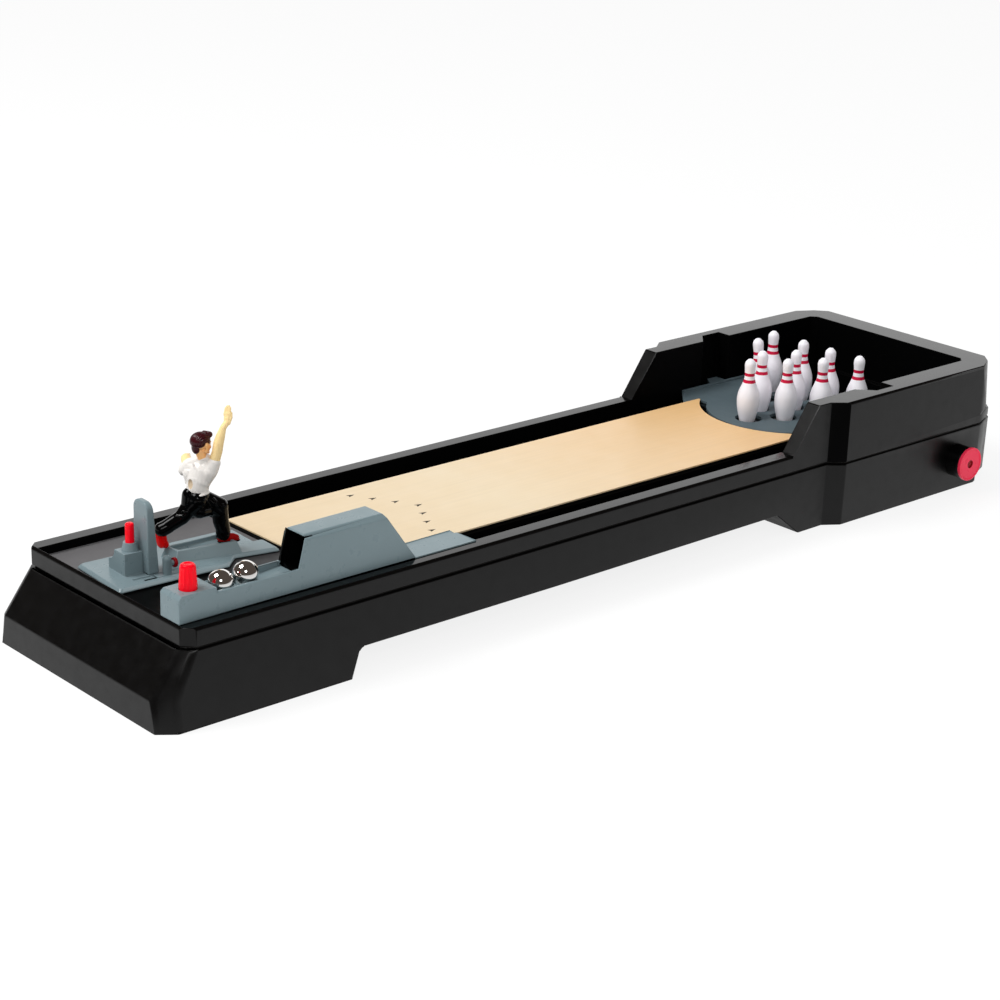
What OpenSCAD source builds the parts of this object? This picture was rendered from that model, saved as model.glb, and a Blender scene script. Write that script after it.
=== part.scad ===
/* [Casing] */
// Width of the casing at the seam between its two halves
case_w = 125; // [121:1:129]
// Length of the casing from the front lip to the top of the rear wall
case_len = 528; // [520:1:540]
// Height of the side rims above the underside
rim_z = 42.9; // [42:0.1:44]
// Height of the seam where the upper casing sits on the lower one
seam_z = 34.5; // [33:0.5:35]
// Width of the pin enclosure
box_w = 137.4; // [134:0.2:140]
// Height of the pin enclosure
box_z = 66.3; // [60:0.1:75]
// Thickness of the moulded walls
wall = 2.2; // [1.8:0.1:2.4]
// How far the front of the foot stands out ahead of the lip
foot_reach = 14.8; // [10:0.1:18]
// Height of the upright band at the bottom of the front
band_z = 13.9; // [10:0.1:18]
// Clearance under the middle of the casing
bridge_z = 13; // [8:0.5:14]

/* [Lane] */
// Width of the lane board
lane_w = 77.2; // [74:0.2:77.2]
// Thickness of the lane board
lane_t = 0.8; // [0.6:0.1:1.2]
// Radius of the round notch in the board's rear end
notch_r = 45.8; // [44:0.1:47]
// Inner radius of the gutters
gutter_r = 7.6; // [7:0.1:7.6]

/* [Pins and balls] */
// Height of a pin
pin_h = 34; // [30:0.5:36]
// Largest radius of a pin
pin_r = 6; // [5:0.1:6.2]
// Distance between neighbouring pins
pin_step = 19.3; // [18.8:0.1:19.6]
// Radius of the round openings that the pins stand in
hole_r = 7.1; // [7:0.1:7.5]
// Diameter of a steel ball
ball_d = 11.2; // [10:0.1:11.4]

/* [Launcher] */
// How far the launcher is turned in its resting place, in degrees
aim = -3; // [-4:0.5:4]
// Height of the aiming grip above the launcher's plate
grip_h = 32.6; // [28:0.2:38]

/* [Console] */
// Height of the front block of the ball console
console_z = 55.3; // [54.5:0.1:57]
// Height of the hood over the ball tunnel
hood_z = 67.5; // [66:0.5:69]

/* [Reset knob] */
// Radius of the knob's disc
knob_r = 9.1; // [8.6:0.1:9.6]
// Height of the knob's shaft above the underside
knob_z = 16.9; // [16.5:0.1:18]

/* [Hidden] */
$fn = 64;
gap = 0.3;
eps = 0.01;

black = [0.09, 0.09, 0.1];
blue_grey = [0.58, 0.64, 0.67];
red = [0.9, 0.04, 0.2];
steel = [0.75, 0.75, 0.77];
skin = [0.93, 0.78, 0.6];

// Casing heights and half widths
half_w = case_w / 2;
half_box = box_w / 2;
trench_x = half_w - 8.4;
floor_z = 38.6;
lane_z = floor_z + 2.3;
board_z = lane_z - lane_t;
bay_end = 91.2;
bay_joint = bay_end - 0.3;
notch_y = 430;
gutter_x = trench_x - gutter_r;
gutter_z = floor_z - 6;
gutter_low = gutter_z - gutter_r;
well_x = gutter_x - gutter_r - wall;
well_y = [388, 470];
horn_end = 403.5;
deck_front = 404.5;
deck_t = 1.6;
rail_z = 41.4;
pit_y = [472.5, case_len - 16];
flare_y = [393, 401.5];
ledge_z = 39;
skirt_end = case_len + 4.8;
lower_end = case_len + 5.4;
rear_draft = 0.097;
rear_lift = [514.3, 3.6];
wing_y = [368, 384.6];
enclosure_y = 367;
slot_y = [429, 441.7];
slot_x = trench_x + 8.2;
lower_top = seam_z - 1.3;
lower_wall = 2.4;
foot_half = half_w + 3.7;
foot_end = 83;
rear_foot = 375;

// Screw places: x, y and the height of the casing's underside there
casing_screw_at = [[-46, 24, 0], [46, 24, 0], [-26, 225, bridge_z], [26, 225, bridge_z],
                   [-59, 462, 0], [59, 462, 0]];
screw_split = 26;

// Console: its left side tapers towards the rear
con_left = [42.4, 39.2];
con_right = 56.2;
con_y = [0.9, 161.3];
con_t = 1.2;
block_end = 20;
trough_y = [block_end, 61.4];
trough_z = [47.6, 50.5];
trough_wall = [52.7, 53.1];
hood_y = [61.4, 108.3];
hood_lean = 4.1;
slope_end = 126.4;
apron_z = rim_z + 0.2;
skirt_y = 60;
button_at = [49.9, 9.8];
button_r = 3.85;
guide_drop = 5.7;

// Launcher, in its own frame whose origin is the pivot
pivot_at = [0, 86];
plate_z = [floor_z + 0.5, lane_z];
plate_edge = 1.2;
grip_u = [-10.7, 1.25];
grip_v = [-61.4, -55.8];
tower_u = [-17, -11.6, -2.9];
tower_v = [-70.5, -61.45];
tower_z = 51;
peg_at = [-7.4, -65.2];
peg_r = 2;
tray_z = 46;
tray_floor = 44;
striker_at = [3.6, -53.5];
striker_z = 45.3;
striker_reach = 10;

// Knob
knob_y = 493.5;
wall_x = half_box - 0.8;
boss_r = knob_r - 0.4;
boss_end = wall_x + 8.4;
hub_x = wall_x + 2.7;
shaft_r = 2;
guide_x = [-36, 47];

// The two facets of a rear corner, for a rear wall at y1 and an inset d
function rear_corner(b, y1, d) = let (y0 = case_len - 18 + (y1 - case_len) * 0.25)
    [[b - d, y0 - 0.26 * d], [b - 6.5 - 0.79 * d, y1 - 6.5 - 0.63 * d], [b - 13.7 - 0.39 * d, y1 - d]];
function flare(w, b, d) = [[w - d, flare_y[0] + d * 0.5], [b - d, flare_y[1] + d * 0.5]];

// Plan outline of the casing at an inset d from its sides, with the rear wall at y1
function plan_right(w, b, d, c, y1) =
    concat([[w - d - c, d], [w - d, d + c]], flare(w, b, d), rear_corner(b, y1, d));
function mirrored(p) = [for (i = [len(p) - 1:-1:0]) [-p[i][0], p[i][1]]];
function plan(w, b, d, c, y1) = concat(plan_right(w, b, d, c, y1), mirrored(plan_right(w, b, d, c, y1)));

// Extrudes a YZ outline across the casing's width
module across(w) {
    rotate([90, 0, 90]) translate([0, 0, -w / 2]) linear_extrude(w) children();
}

// Extrudes an XZ outline along the casing from y0 to y1
module along(y0, y1) {
    translate([0, y1, 0]) rotate([90, 0, 0]) linear_extrude(y1 - y0) children();
}

// A cylinder along Y
module rod_y(r, y0, y1, x, z) {
    translate([x, y0, z]) rotate([-90, 0, 0]) cylinder(r = r, h = y1 - y0);
}

// A cylinder along X
module rod_x(r, x0, x1, y, z) {
    translate([x0, y, z]) rotate([0, 90, 0]) cylinder(r = r, h = x1 - x0);
}

module mirror_x() {
    children();
    mirror([1, 0, 0]) children();
}

// The outer form of the upper casing: a low body with raised wings round the pins
module upper_form(d) {
    top = box_z - d;
    low = rim_z - d;
    edge = 1;
    intersection() {
        upper_plan(d, seam_z - (d > 0 ? 1 : 0), top);
        across(2 * box_w)
            polygon([[0, 0], [case_len + 9, 0], [case_len + 9, top - edge - 9], [case_len - edge, top],
                     [wing_y[1] + d, top], [wing_y[0] + d * 1.2, low], [d + edge, low], [d, low - edge]]);
        union() {
            along(-1, case_len)
                polygon([[-half_w, 0], [half_w, 0], [half_w, low - edge], [half_w - edge, low],
                         [edge - half_w, low], [-half_w, low - edge]]);
            along(wing_y[0] - 1, skirt_end + 1) square_top(half_box, top, edge);
        }
    }
}

// The walls of the upper casing at an inset d: its rear wall leans in above a ledge
module upper_plan(d, z0, z1) {
    skirt = plan(half_w, half_box, d, 5, skirt_end);
    front = [[d + 5 - half_w, d], [half_w - d - 5, d], [half_w - d, d + 5],
             [half_w - d, flare_y[0] + d * 0.5], [d - half_w, flare_y[0] + d * 0.5], [d - half_w, d + 5]];
    translate([0, 0, z0]) linear_extrude(ledge_z - d - z0) polygon(skirt);
    translate([0, 0, z0]) linear_extrude(z1 - z0) polygon(front);
    hull() {
        rear_level(d, z0);
        rear_level(d, z1 - eps);
    }
}

// One level of the upper casing's rear wall, from the flare back
module rear_level(d, z) {
    wall_y = case_len + rear_draft * (box_z - z);
    half = concat(flare(half_w, half_box, d), rear_corner(half_box, wall_y, d));
    translate([0, 0, z]) linear_extrude(eps) polygon(concat(half, mirrored(half)));
}

// An upright section with its two top corners taken off
module square_top(w, top, edge) {
    polygon([[-w, 0], [w, 0], [w, top - edge], [w - edge, top], [edge - w, top], [-w, top - edge]]);
}

// The slots in the side walls that take the ears of the pin deck
module ear_slot(g, z0, z1) {
    mirror_x() translate([0, 0, z0]) linear_extrude(z1 - z0)
        polygon([[trench_x - 3, slot_y[0] - 11 - g], [trench_x, slot_y[0] - 8 - g],
                 [slot_x + g, slot_y[0] - g / 2], [slot_x + g, slot_y[1] + g],
                 [trench_x - 3, slot_y[1] + g]]);
}

// Everything that is open above the floors; g makes it bigger all round for the skin below it
module trench(g) {
    corner = 3;
    x = trench_x + g;
    y1 = pit_y[1] + g;
    translate([0, 0, floor_z - g]) linear_extrude(60)
        polygon([[-x, 1.8 - g], [x, 1.8 - g], [x, y1 - corner], [x - corner, y1], [corner - x, y1],
                 [-x, y1 - corner]]);
    for (side = [[-1, bay_end + 2], [1, trough_y[1] + 4]]) {
        rod_y(gutter_r + g, side[1] - g, y1 - 2, side[0] * gutter_x, gutter_z);
        translate([side[0] * gutter_x - gutter_r - g, side[1] - g, gutter_z])
            cube([2 * (gutter_r + g), y1 - 2 - side[1] + g, floor_z - gutter_z + eps]);
    }
    translate([-x, pit_y[0] - g, gutter_low - g]) cube([2 * x, y1 - pit_y[0] + g - corner, 20]);
}

// The whole upper moulding: outer walls, floor, gutters, pit, screw bosses and the lane's shelf
module upper_shell() {
    difference() {
        union() {
            difference() {
                upper_form(0);
                upper_form(lower_wall);
            }
            intersection() {
                union() {
                    trench(wall);
                    ear_slot(wall, floor_z - 2, box_z);
                }
                union() {
                    upper_form(0);
                    translate([-half_w, 0, 0]) cube([case_w, case_len - 4, seam_z + eps]);
                }
            }
            for (s = casing_screw_at)
                translate([s[0], s[1], screw_split]) cylinder(r = 3.2, h = floor_z - screw_split);
            cross_ribs();
            lane_shelf();
        }
        difference() {
            trench(0);
            lane_shelf();
        }
        ear_slot(0, floor_z + 0.2, box_z + 1);
        translate([-well_x, well_y[0], 10]) cube([2 * well_x, well_y[1] - well_y[0], 60]);
        for (s = casing_screw_at) translate([s[0], s[1], screw_split - 1]) cylinder(r = 1.5, h = 9);
        translate([pivot_at[0], pivot_at[1], 30]) cylinder(r = 2.6, h = 20);
    }
}

// The slice of the upper moulding between two places along it; the slices meet flush
module shell_slice(y0, y1) {
    color(black) intersection() {
        upper_shell();
        translate([-box_w, y0, 0]) cube([2 * box_w, y1 - y0, box_z + 1]);
    }
}

// The front of the moulding: the player's bay with its front lip
module front_bay() {
    shell_slice(-1, bay_joint);
}

// The middle of the moulding: the lane's shelf between two gutters, and the low side rims
module upper_casing() {
    shell_slice(bay_joint, enclosure_y);
}

// The rear of the moulding: the high walls round the pins and the pit behind them
module pin_enclosure() {
    shell_slice(enclosure_y, case_len + 20);
}

// The raised shelf that the lane board lies on
module lane_shelf() {
    h = board_z - floor_z + eps;
    translate([-lane_w / 2, bay_end + 0.5, floor_z - eps]) cube([lane_w, well_y[0] - bay_end - 1, h]);
    mirror_x() translate([well_x, well_y[0] - 1, floor_z - eps])
        cube([lane_w / 2 - well_x, horn_end - well_y[0] + 1, h]);
}

// Stiffening ribs under the floor of the lane
module cross_ribs() {
    for (y = [60:110:300]) translate([-well_x - 1, y, seam_z - 4])
        cube([2 * well_x + 2, 1.6, floor_z - seam_z + 2]);
}

// One level of the lower casing from the front to the flare: its sides draw in towards the rear
module front_slice(z, w, d, cx, cy, y0) {
    x = w - d;
    half = [[x - cx, y0 + d], [x, y0 + d + cy], [x, foot_end], [half_w - d, flare_y[0] + d]];
    translate([0, 0, z]) linear_extrude(eps) polygon(concat(half, mirrored(half)));
}

// The sloped and drafted form of the lower casing
module lower_form(d, z0, z1) {
    draft = (foot_half - half_w) / lower_top;
    hull() {
        front_slice(z0, foot_half - draft * z0, d, 6, 8, -foot_reach);
        front_slice(band_z, foot_half - draft * band_z, d, 6, 8, -foot_reach);
        front_slice(z1, foot_half - draft * z1, d, 5, 5, -1.2);
    }
    rear_block(d, z0, z1);
}

// The wide rear of the lower casing, lofted between two levels
module rear_block(d, z0, z1) {
    lean = 0.6 / lower_top;
    foot_box = half_box - 0.6;
    hull() {
        level(z0, foot_box + lean * z0, d);
        level(z1, foot_box + lean * z1, d);
    }
}

// One level of the rear, from the flare to the chamfered corners
module level(z, b, d) {
    half = concat(flare(half_w, b, d), rear_corner(b, lower_end, d));
    translate([0, 0, z]) linear_extrude(eps) polygon(concat(half, mirrored(half)));
}

// The step in the underside behind the rear foot, with d of wall left above it
module rear_step(d) {
    translate([-box_w, rear_lift[0] - d, -5]) cube([2 * box_w, 60, rear_lift[1] + d + 5]);
}

// Side outline of the space between the feet, with a rounded corner behind the front foot
function bridge_outline(d) = let (r = 3, top = bridge_z + d, front = foot_end - d,
    lean = atan2(bridge_z, 6), mid = front + (r + (top - r) * cos(lean)) / sin(lean))
    concat([[front, -5], [front, 0]],
           [for (a = [lean + 90:-13:90]) [mid + r * cos(a), top - r + r * sin(a)]],
           [[rear_foot + d - 17, top], [rear_foot + d, 0], [rear_foot + d, -5]]);

// The space under the casing between its two feet, with d of wall left round it
module bridge(d) {
    across(2 * box_w) polygon(bridge_outline(d));
}

module lower_casing() {
    color(black) difference() {
        union() {
            difference() {
                lower_form(0, 0, lower_top - eps);
                difference() {
                    lower_form(lower_wall, lower_wall, lower_top + 1);
                    bridge(lower_wall);
                    rear_step(lower_wall);
                }
            }
            locating_rib();
            for (s = casing_screw_at) translate([s[0], s[1], s[2]]) cylinder(r = 4.4, h = screw_split - s[2]);
            for (x = guide_x) shaft_guide(x);
        }
        bridge(0);
        rear_step(0);
        for (s = casing_screw_at) translate([s[0], s[1], s[2] - 1]) {
            cylinder(r = 1.7, h = 40);
            cylinder(r = 3.1, h = screw_split - s[2] - 2);
        }
        for (x = guide_x) rod_x(shaft_r + 0.05, x - 1, x + 5, knob_y, knob_z);
        rod_x(4.2, wall_x - 10, wall_x + 4, knob_y, knob_z);
        rod_x(boss_r + 0.1, wall_x, wall_x + 4, knob_y, knob_z);
    }
}

// A rib inside the lower casing's edge that the upper casing stands on
module locating_rib() {
    translate([0, 0, lower_top - 4]) linear_extrude(seam_z - lower_top + 4) difference() {
        polygon(plan(half_w, half_box, 1.1, 5, skirt_end));
        polygon(plan(half_w, half_box, 2.7, 5, skirt_end));
    }
}

// An upright with a round bore for the reset shaft
module shaft_guide(x) {
    translate([x, knob_y - 4, 1]) cube([4, 8, knob_z - 1]);
    rod_x(4, x, x + 4, knob_y, knob_z);
}

module casing_screws() {
    color(steel) for (s = casing_screw_at)
        translate([s[0], s[1], screw_split - 3]) cross_screw(2.8, 1.5, 10.6);
}

// A screw driven from below: its head stands under z = 0 and its shank ends at the given length
module cross_screw(head_r, r, length) {
    difference() {
        union() {
            translate([0, 0, -2]) cylinder(r = head_r, h = 2);
            translate([0, 0, -1]) cylinder(r = r, h = length + 1);
        }
        for (a = [0, 90]) rotate(a) translate([-head_r * 0.7, -0.35, -3]) cube([head_r * 1.4, 0.7, 2]);
    }
}

module lane_board() {
    color([0.93, 0.84, 0.7]) translate([0, 0, board_z]) linear_extrude(lane_t) difference() {
        translate([-lane_w / 2, bay_end + 0.5]) square([lane_w, horn_end - bay_end - 0.5]);
        translate([0, notch_y]) circle(r = notch_r, $fn = 180);
    }
}

// Places of the ten pins, head pin first and the back row last
function pin_places() = [for (row = [0:3]) for (i = [0:row])
    [(i - row / 2) * pin_step, 401.4 + row * pin_step * sqrt(3) / 2]];

// The blue-grey deck round the pins, with a rounded front, side rails and ears in the wall slots
module pin_deck() {
    deck_x = trench_x - 0.3;
    wing = [[0, deck_front], [39.2, deck_front], [39.2, 392.7], [deck_x, 406],
            [deck_x, well_y[1] + 2], [0, well_y[1] + 2]];
    color(blue_grey) difference() {
        union() {
            translate([0, 0, floor_z]) linear_extrude(deck_t) {
                intersection() {
                    translate([0, 427]) circle(r = 40, $fn = 180);
                    translate([-40, 380]) square([80, deck_front - 379]);
                }
                polygon(concat(wing, mirrored(wing)));
            }
            mirror_x() {
                translate([deck_x - 1.8, 406, floor_z]) cube([1.8, well_y[1] - 404, rail_z - floor_z]);
                deck_ear(deck_x);
            }
        }
        for (p = pin_places()) translate([p[0], p[1], floor_z - 1]) cylinder(r = hole_r, h = 5);
        for (p = deck_screw_places()) translate([p[0], p[1], floor_z - 1]) cylinder(r = 1, h = 2);
    }
}

// An ear that drops into the slot in the side wall
module deck_ear(x) {
    translate([0, 0, floor_z + 0.5]) linear_extrude(rail_z - floor_z - 0.5)
        polygon([[x - 1.8, slot_y[0] - 2.6], [slot_x - 2, slot_y[0] + 3.7],
                 [slot_x - 2, slot_y[1] - 1.9], [x - 1.8, slot_y[1] - 1.3]]);
}

function deck_screw_places() = [[-29, 412], [29, 412], [-20, 466], [20, 466]];

// The black plate that the pins stand on, with a hole under each pin and pads under the board's horns
module pin_seat_plate() {
    x = well_x - gap;
    color(black) difference() {
        union() {
            translate([-x, well_y[0] + 2, floor_z - 2]) cube([2 * x, well_y[1] - well_y[0] - 3, 2]);
            translate([0, 0, floor_z - eps]) linear_extrude(board_z - floor_z + eps) difference() {
                translate([-x, well_y[0] + 2]) square([2 * x, horn_end - well_y[0] - 2.5]);
                translate([0, notch_y]) circle(r = notch_r + 1, $fn = 90);
            }
        }
        for (p = pin_places()) translate([p[0], p[1], floor_z - 3]) cylinder(r = 1, h = 4, $fn = 24);
        for (p = deck_screw_places()) translate([p[0], p[1], floor_z - 3]) cylinder(r = 1, h = 4, $fn = 24);
    }
}

module deck_screws() {
    color(steel) for (p = deck_screw_places()) translate([p[0], p[1], floor_z - 3.2]) {
        cylinder(r = 2, h = 1.2, $fn = 32);
        cylinder(r = 1, h = 4, $fn = 32);
    }
}

// Side outline of the console's housing, as a list of y and z
function console_side(d) = [
    [con_y[0] + d, floor_z - 1], [con_y[0] + d, console_z - 1.5 - d], [con_y[0] + 1.5 + d, console_z - d],
    [block_end - d, console_z - d], [block_end - d, trough_z[0] - d], [hood_y[0] + d, trough_z[1] - d],
    [hood_y[0] + d, trough_z[1] + 0.3], [hood_y[0] + hood_lean + d, hood_z - d],
    [hood_y[1] - d * 0.6, hood_z - d],
    [slope_end - d * 0.6, apron_z - d], [con_y[1] - d, apron_z - d], [con_y[1] - d, floor_z - 1]];

// How far left the console reaches at y
function left_x(y) = con_left[0] + (con_left[1] - con_left[0]) * (y - con_y[0]) / (con_y[1] - con_y[0]);

// The housing's width: an upright wall on the right, a tapering one on the left, and bevels along the top
module console_width(d) {
    bevel = 2;
    x1 = con_right - d;
    top = hood_z - d;
    turn = atan((con_left[0] - con_left[1]) / (con_y[1] - con_y[0]));
    intersection() {
        along(con_y[0] - 1, con_y[1] + 1)
            polygon([[20, floor_z - 2], [x1, floor_z - 2], [x1, top - bevel], [x1 - bevel, top], [20, top]]);
        translate([con_left[0] + d, con_y[0], 0]) rotate(turn) along(-5, con_y[1] + 5)
            polygon([[0, floor_z - 2], [40, floor_z - 2], [40, top], [bevel, top], [0, top - bevel]]);
    }
}

// The console: a front block with the button, an open trough, a hood over the tunnel and an apron
module ball_console() {
    inner_x = trench_x - gap;
    color(blue_grey) difference() {
        union() {
            intersection() {
                across(2 * con_right + 2) polygon(console_side(0));
                console_width(0);
            }
            trough_walls();
        }
        console_hollow();
        tunnel_mouth();
        translate([20, con_y[0] - 1, 0]) cube([50, 200, floor_z + 0.1]);
        translate([inner_x, con_y[0] - 1, 0]) cube([10, 200, rim_z + 0.05]);
        translate([20, 0, 0]) cube([50, 1.9, rim_z + 0.05]);
        translate([20, bay_end, 0]) cube([50, 200, rim_z + 0.05]);
        translate([left_x(con_y[1]) - 1, con_y[1] - 1.4, 0]) cube([4.5, 3, hood_z]);
        translate([button_at[0], button_at[1], console_z - 10]) cylinder(r = button_r + 0.25, h = 20);
    }
    color(blue_grey) button_guide();
}

// The upright walls of the trough
module trough_walls() {
    y = [trough_y[0] - 1, trough_y[1] + 2];
    x = [left_x(y[0]), left_x(y[1])];
    z = trough_z[0] - 2;
    translate([con_right - con_t, y[0], z]) cube([con_t, y[1] - y[0], trough_wall[1] - z]);
    translate([0, 0, z]) linear_extrude(trough_wall[0] - z)
        polygon([[x[0], y[0]], [x[0] + con_t, y[0]], [x[1] + con_t, y[1]], [x[1], y[1]]]);
}

// The hollow inside the console, open below, with a skirt left inside the casing's side wall
module console_hollow() {
    inner_x = trench_x - gap - con_t;
    difference() {
        intersection() {
            across(2 * con_right + 2) polygon(console_side(con_t));
            console_width(con_t);
        }
        translate([inner_x, 0, 0]) cube([10, skirt_y, rim_z + con_t]);
    }
}

// The opening in the front of the hood
module tunnel_mouth() {
    left = left_x(hood_y[0]) + con_t;
    translate([left, hood_y[0] - 0.5, trough_z[1]])
        cube([con_right - 1 - left, 9, hood_z - 0.9 - trough_z[1]]);
}

// A sleeve under the block's top that guides the button
module button_guide() {
    translate([button_at[0], button_at[1], console_z - guide_drop]) difference() {
        cylinder(r = button_r + 1.4, h = guide_drop - con_t + eps);
        translate([0, 0, -1]) cylinder(r = button_r + 0.25, h = 20);
    }
}

// The ramp that brings the balls up from the gutter to the trough
module return_ramp() {
    low = gutter_low;
    high = trough_z[1] + 0.1;
    y = [hood_y[0] + con_t + 0.5, hood_y[0] + 64];
    gutter_start = trough_y[1] + 4 + gap;
    groove_r = 6.2;
    lean = atan((high - low - 0.6) / (y[1] - y[0]));
    x = [gutter_x, 48.1];
    turn = atan((x[1] - x[0]) / (y[1] - y[0]));
    color(black) difference() {
        intersection() {
            across(2 * trench_x) polygon([[y[0], low], [y[0], high + 1.5], [y[0] + 2, high + 1.5],
                                          [y[1] + 3, low + 1.4], [y[1] + 3, low]]);
            union() {
                rod_y(gutter_r - 0.15, gutter_start, y[1] + 5, gutter_x, gutter_z - 0.15);
                translate([gutter_x - gutter_r + gap, gutter_start, gutter_z])
                    cube([2 * (gutter_r - gap), 80, floor_z - gutter_z]);
                translate([42.8, y[0], floor_z + 0.15]) cube([trench_x - gap - 42.8, 80, 30]);
            }
        }
        translate([x[1], y[0], high + groove_r / cos(lean)]) rotate(turn) rotate([-90 - lean, 0, 0])
            translate([0, 0, -10]) cylinder(r = groove_r, h = 100);
    }
}

// The red button: a ribbed cap on a stem, with a collar that the block's top holds down
module console_button() {
    stem_z = console_z - guide_drop - gap;
    straight = guide_drop + gap + 0.4;
    cap_top = console_z + 11;
    tip_r = button_r - 0.65;
    cone = cap_top - 0.8 - stem_z - straight;
    color(red) translate([button_at[0], button_at[1], stem_z]) {
        translate([0, 0, -1.3]) cylinder(r = button_r + 0.8, h = 1.3 + eps);
        cylinder(r = button_r, h = straight);
        translate([0, 0, straight - eps]) cylinder(r1 = button_r, r2 = tip_r, h = cone + eps);
        translate([0, 0, straight + cone - eps]) cylinder(r1 = tip_r, r2 = tip_r - 0.9, h = 0.8 + eps);
        for (a = [0:30:330]) rotate(a) translate([button_r - 0.35, 0, straight + 3.1])
            rotate([0, -atan(0.65 / cone), 0]) cylinder(r = 0.35, h = cone - 3.6, $fn = 16);
    }
}

// A coil spring from z = 0 to h, as one swept tube
module coil(r, wire, h, turns) {
    sides = 6;
    steps = 14 * turns;
    function ring(i) = let (a = 360 * turns * i / steps, z = wire + (h - 2 * wire) * i / steps)
        [for (k = [0:sides - 1]) let (b = 360 * k / sides)
            [(r + wire * cos(b)) * cos(a), (r + wire * cos(b)) * sin(a), z + wire * sin(b)]];
    points = [for (i = [0:steps]) each ring(i)];
    skin_faces = [for (i = [0:steps - 1]) for (k = [0:sides - 1])
        [i * sides + k, i * sides + (k + 1) % sides, (i + 1) * sides + (k + 1) % sides, (i + 1) * sides + k]];
    ends = [[for (k = [sides - 1:-1:0]) k], [for (k = [0:sides - 1]) steps * sides + k]];
    polyhedron(points, concat(skin_faces, ends), convexity = 10);
}

module button_spring() {
    spring_low = floor_z + 0.1;
    color(steel) translate([button_at[0], button_at[1], spring_low])
        coil(2, 0.35, console_z - guide_drop - gap - 1.3 - spring_low, 6);
}

// Puts a shape drawn round the pivot where the launcher rests
module at_pivot() {
    translate([pivot_at[0], pivot_at[1], 0]) rotate(aim) children();
}

// Plans of the plate's four bevelled slabs at an inset d: front, rear, neck and the step between
function front_plan(d) = [[d - 27.2, d - 80.1], [7.9 - d, d - 80.4], [9.4 - d, d - 78.9], [8.9 - d, -25 - d],
                          [d - 28.7, -25 - d], [d - 28.7, d - 78.5]];
function rear_plan(d) = [[d - 28.7, -40], [-6, -40], [-6, -0.5 - d], [d - 27.2, -0.5 - d],
                         [d - 28.7, -2 - d]];
function neck_plan(d) = [[d - 9.6, -35], [-1 - d, -35], [1.7 - d, -17.5], [4.9 - d, 3.2 - d],
                         [3.9 - d, 4.2 - d], [d - 8.6, 4.2 - d], [d - 9.6, 3.2 - d]];
function step_plan(d) = [[-8, -35], [8.9 - d, -35], [8.9 - d, -25.2 - d * 0.4],
                         [1.6 - d * 0.7, -17.6 - d * 0.7], [-8, -17.6]];

// One slab of the plate, with its upper edge bevelled
module slab(low, high) {
    hull() {
        translate([0, 0, plate_z[0]]) linear_extrude(plate_z[1] - plate_z[0] - plate_edge) polygon(low);
        translate([0, 0, plate_z[0]]) linear_extrude(plate_z[1] - plate_z[0]) polygon(high);
    }
}

// The launcher: a flat bevelled plate with the trigger's tower, the figure's tray and the ball's groove
module launcher_plate() {
    color(blue_grey) at_pivot() difference() {
        union() {
            slab(front_plan(0), front_plan(plate_edge));
            slab(rear_plan(0), rear_plan(plate_edge));
            slab(neck_plan(0), neck_plan(plate_edge));
            slab(step_plan(0), step_plan(plate_edge));
            tower();
            tray_form();
            translate([0, 0, floor_z - 2.6]) cylinder(r = 2.5, h = 4);
        }
        tray_recess();
        groove();
        striker_slot();
        grip_foot(0.05);
        translate([peg_at[0], peg_at[1], plate_z[0] - 1]) {
            cylinder(r = 2.9, h = tower_z - plate_z[0] - 1);
            cylinder(r = peg_r + 0.08, h = 30);
        }
        translate([0, 0, 30]) cylinder(r = 1.1, h = 9.6);
    }
}

// The trigger's tower: a block with a concave left shoulder and a round neck
module tower() {
    shoulder = tower_u[1] - tower_u[0];
    translate([tower_u[1], tower_v[0], plate_z[0] + 1])
        cube([tower_u[2] - tower_u[1], tower_v[1] - tower_v[0], tower_z - plate_z[0] - 1]);
    translate([peg_at[0], peg_at[1], tower_z - eps]) cylinder(r1 = 3.75, r2 = 3, h = 3.6);
    translate([0, tower_v[1], 0]) rotate([90, 0, 0]) linear_extrude(tower_v[1] - tower_v[0]) difference() {
        translate([tower_u[0], plate_z[0] + 1]) square([shoulder + eps, tower_z - plate_z[0] - 1]);
        translate([tower_u[0], tower_z]) circle(r = shoulder);
    }
}

// The raised tray that the figure stands in, with sloping flanks
module tray_form() {
    hull() {
        translate([0, 0, plate_z[1] - 0.4]) linear_extrude(eps)
            polygon([[-15.5, -45.5], [-4, -44.5], [1, -13], [-16.5, -13]]);
        translate([0, 0, tray_z - eps]) linear_extrude(eps)
            polygon([[-13.5, -43.9], [-5.4, -42.7], [-1.2, -14.7], [-14.4, -15.5]]);
    }
}

module tray_recess() {
    translate([0, 0, tray_floor]) linear_extrude(10)
        polygon([[-12.4, -42.6], [-6.6, -41.6], [-2.7, -16], [-13.2, -16.6]]);
}

// The rounded groove along the tray that guides the ball
module groove() {
    r = 7;
    translate([1.7, -43.6, plate_z[1] - 0.7 + r]) rotate([0, 0, -8.5]) rotate([-90, 0, 0])
        translate([0, 0, -3]) cylinder(r = r, h = 34);
}

// The recess that the striker slides in, with a slot through it and room for its keeper below
module striker_slot() {
    u = striker_at[0];
    v = striker_at[1];
    translate([u - 2.2, v - 5.9 - striker_reach, plate_z[1] - 0.7]) cube([4.4, 14.2 + striker_reach, 3]);
    translate([u - 0.8, v - 1.3 - striker_reach, plate_z[0] - 1]) cube([1.6, 3.6 + striker_reach, 4]);
    translate([u - 2.1, v - 4.3 - striker_reach, plate_z[0] - 1]) cube([4.2, 8.6 + striker_reach, 1.5]);
}

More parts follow.
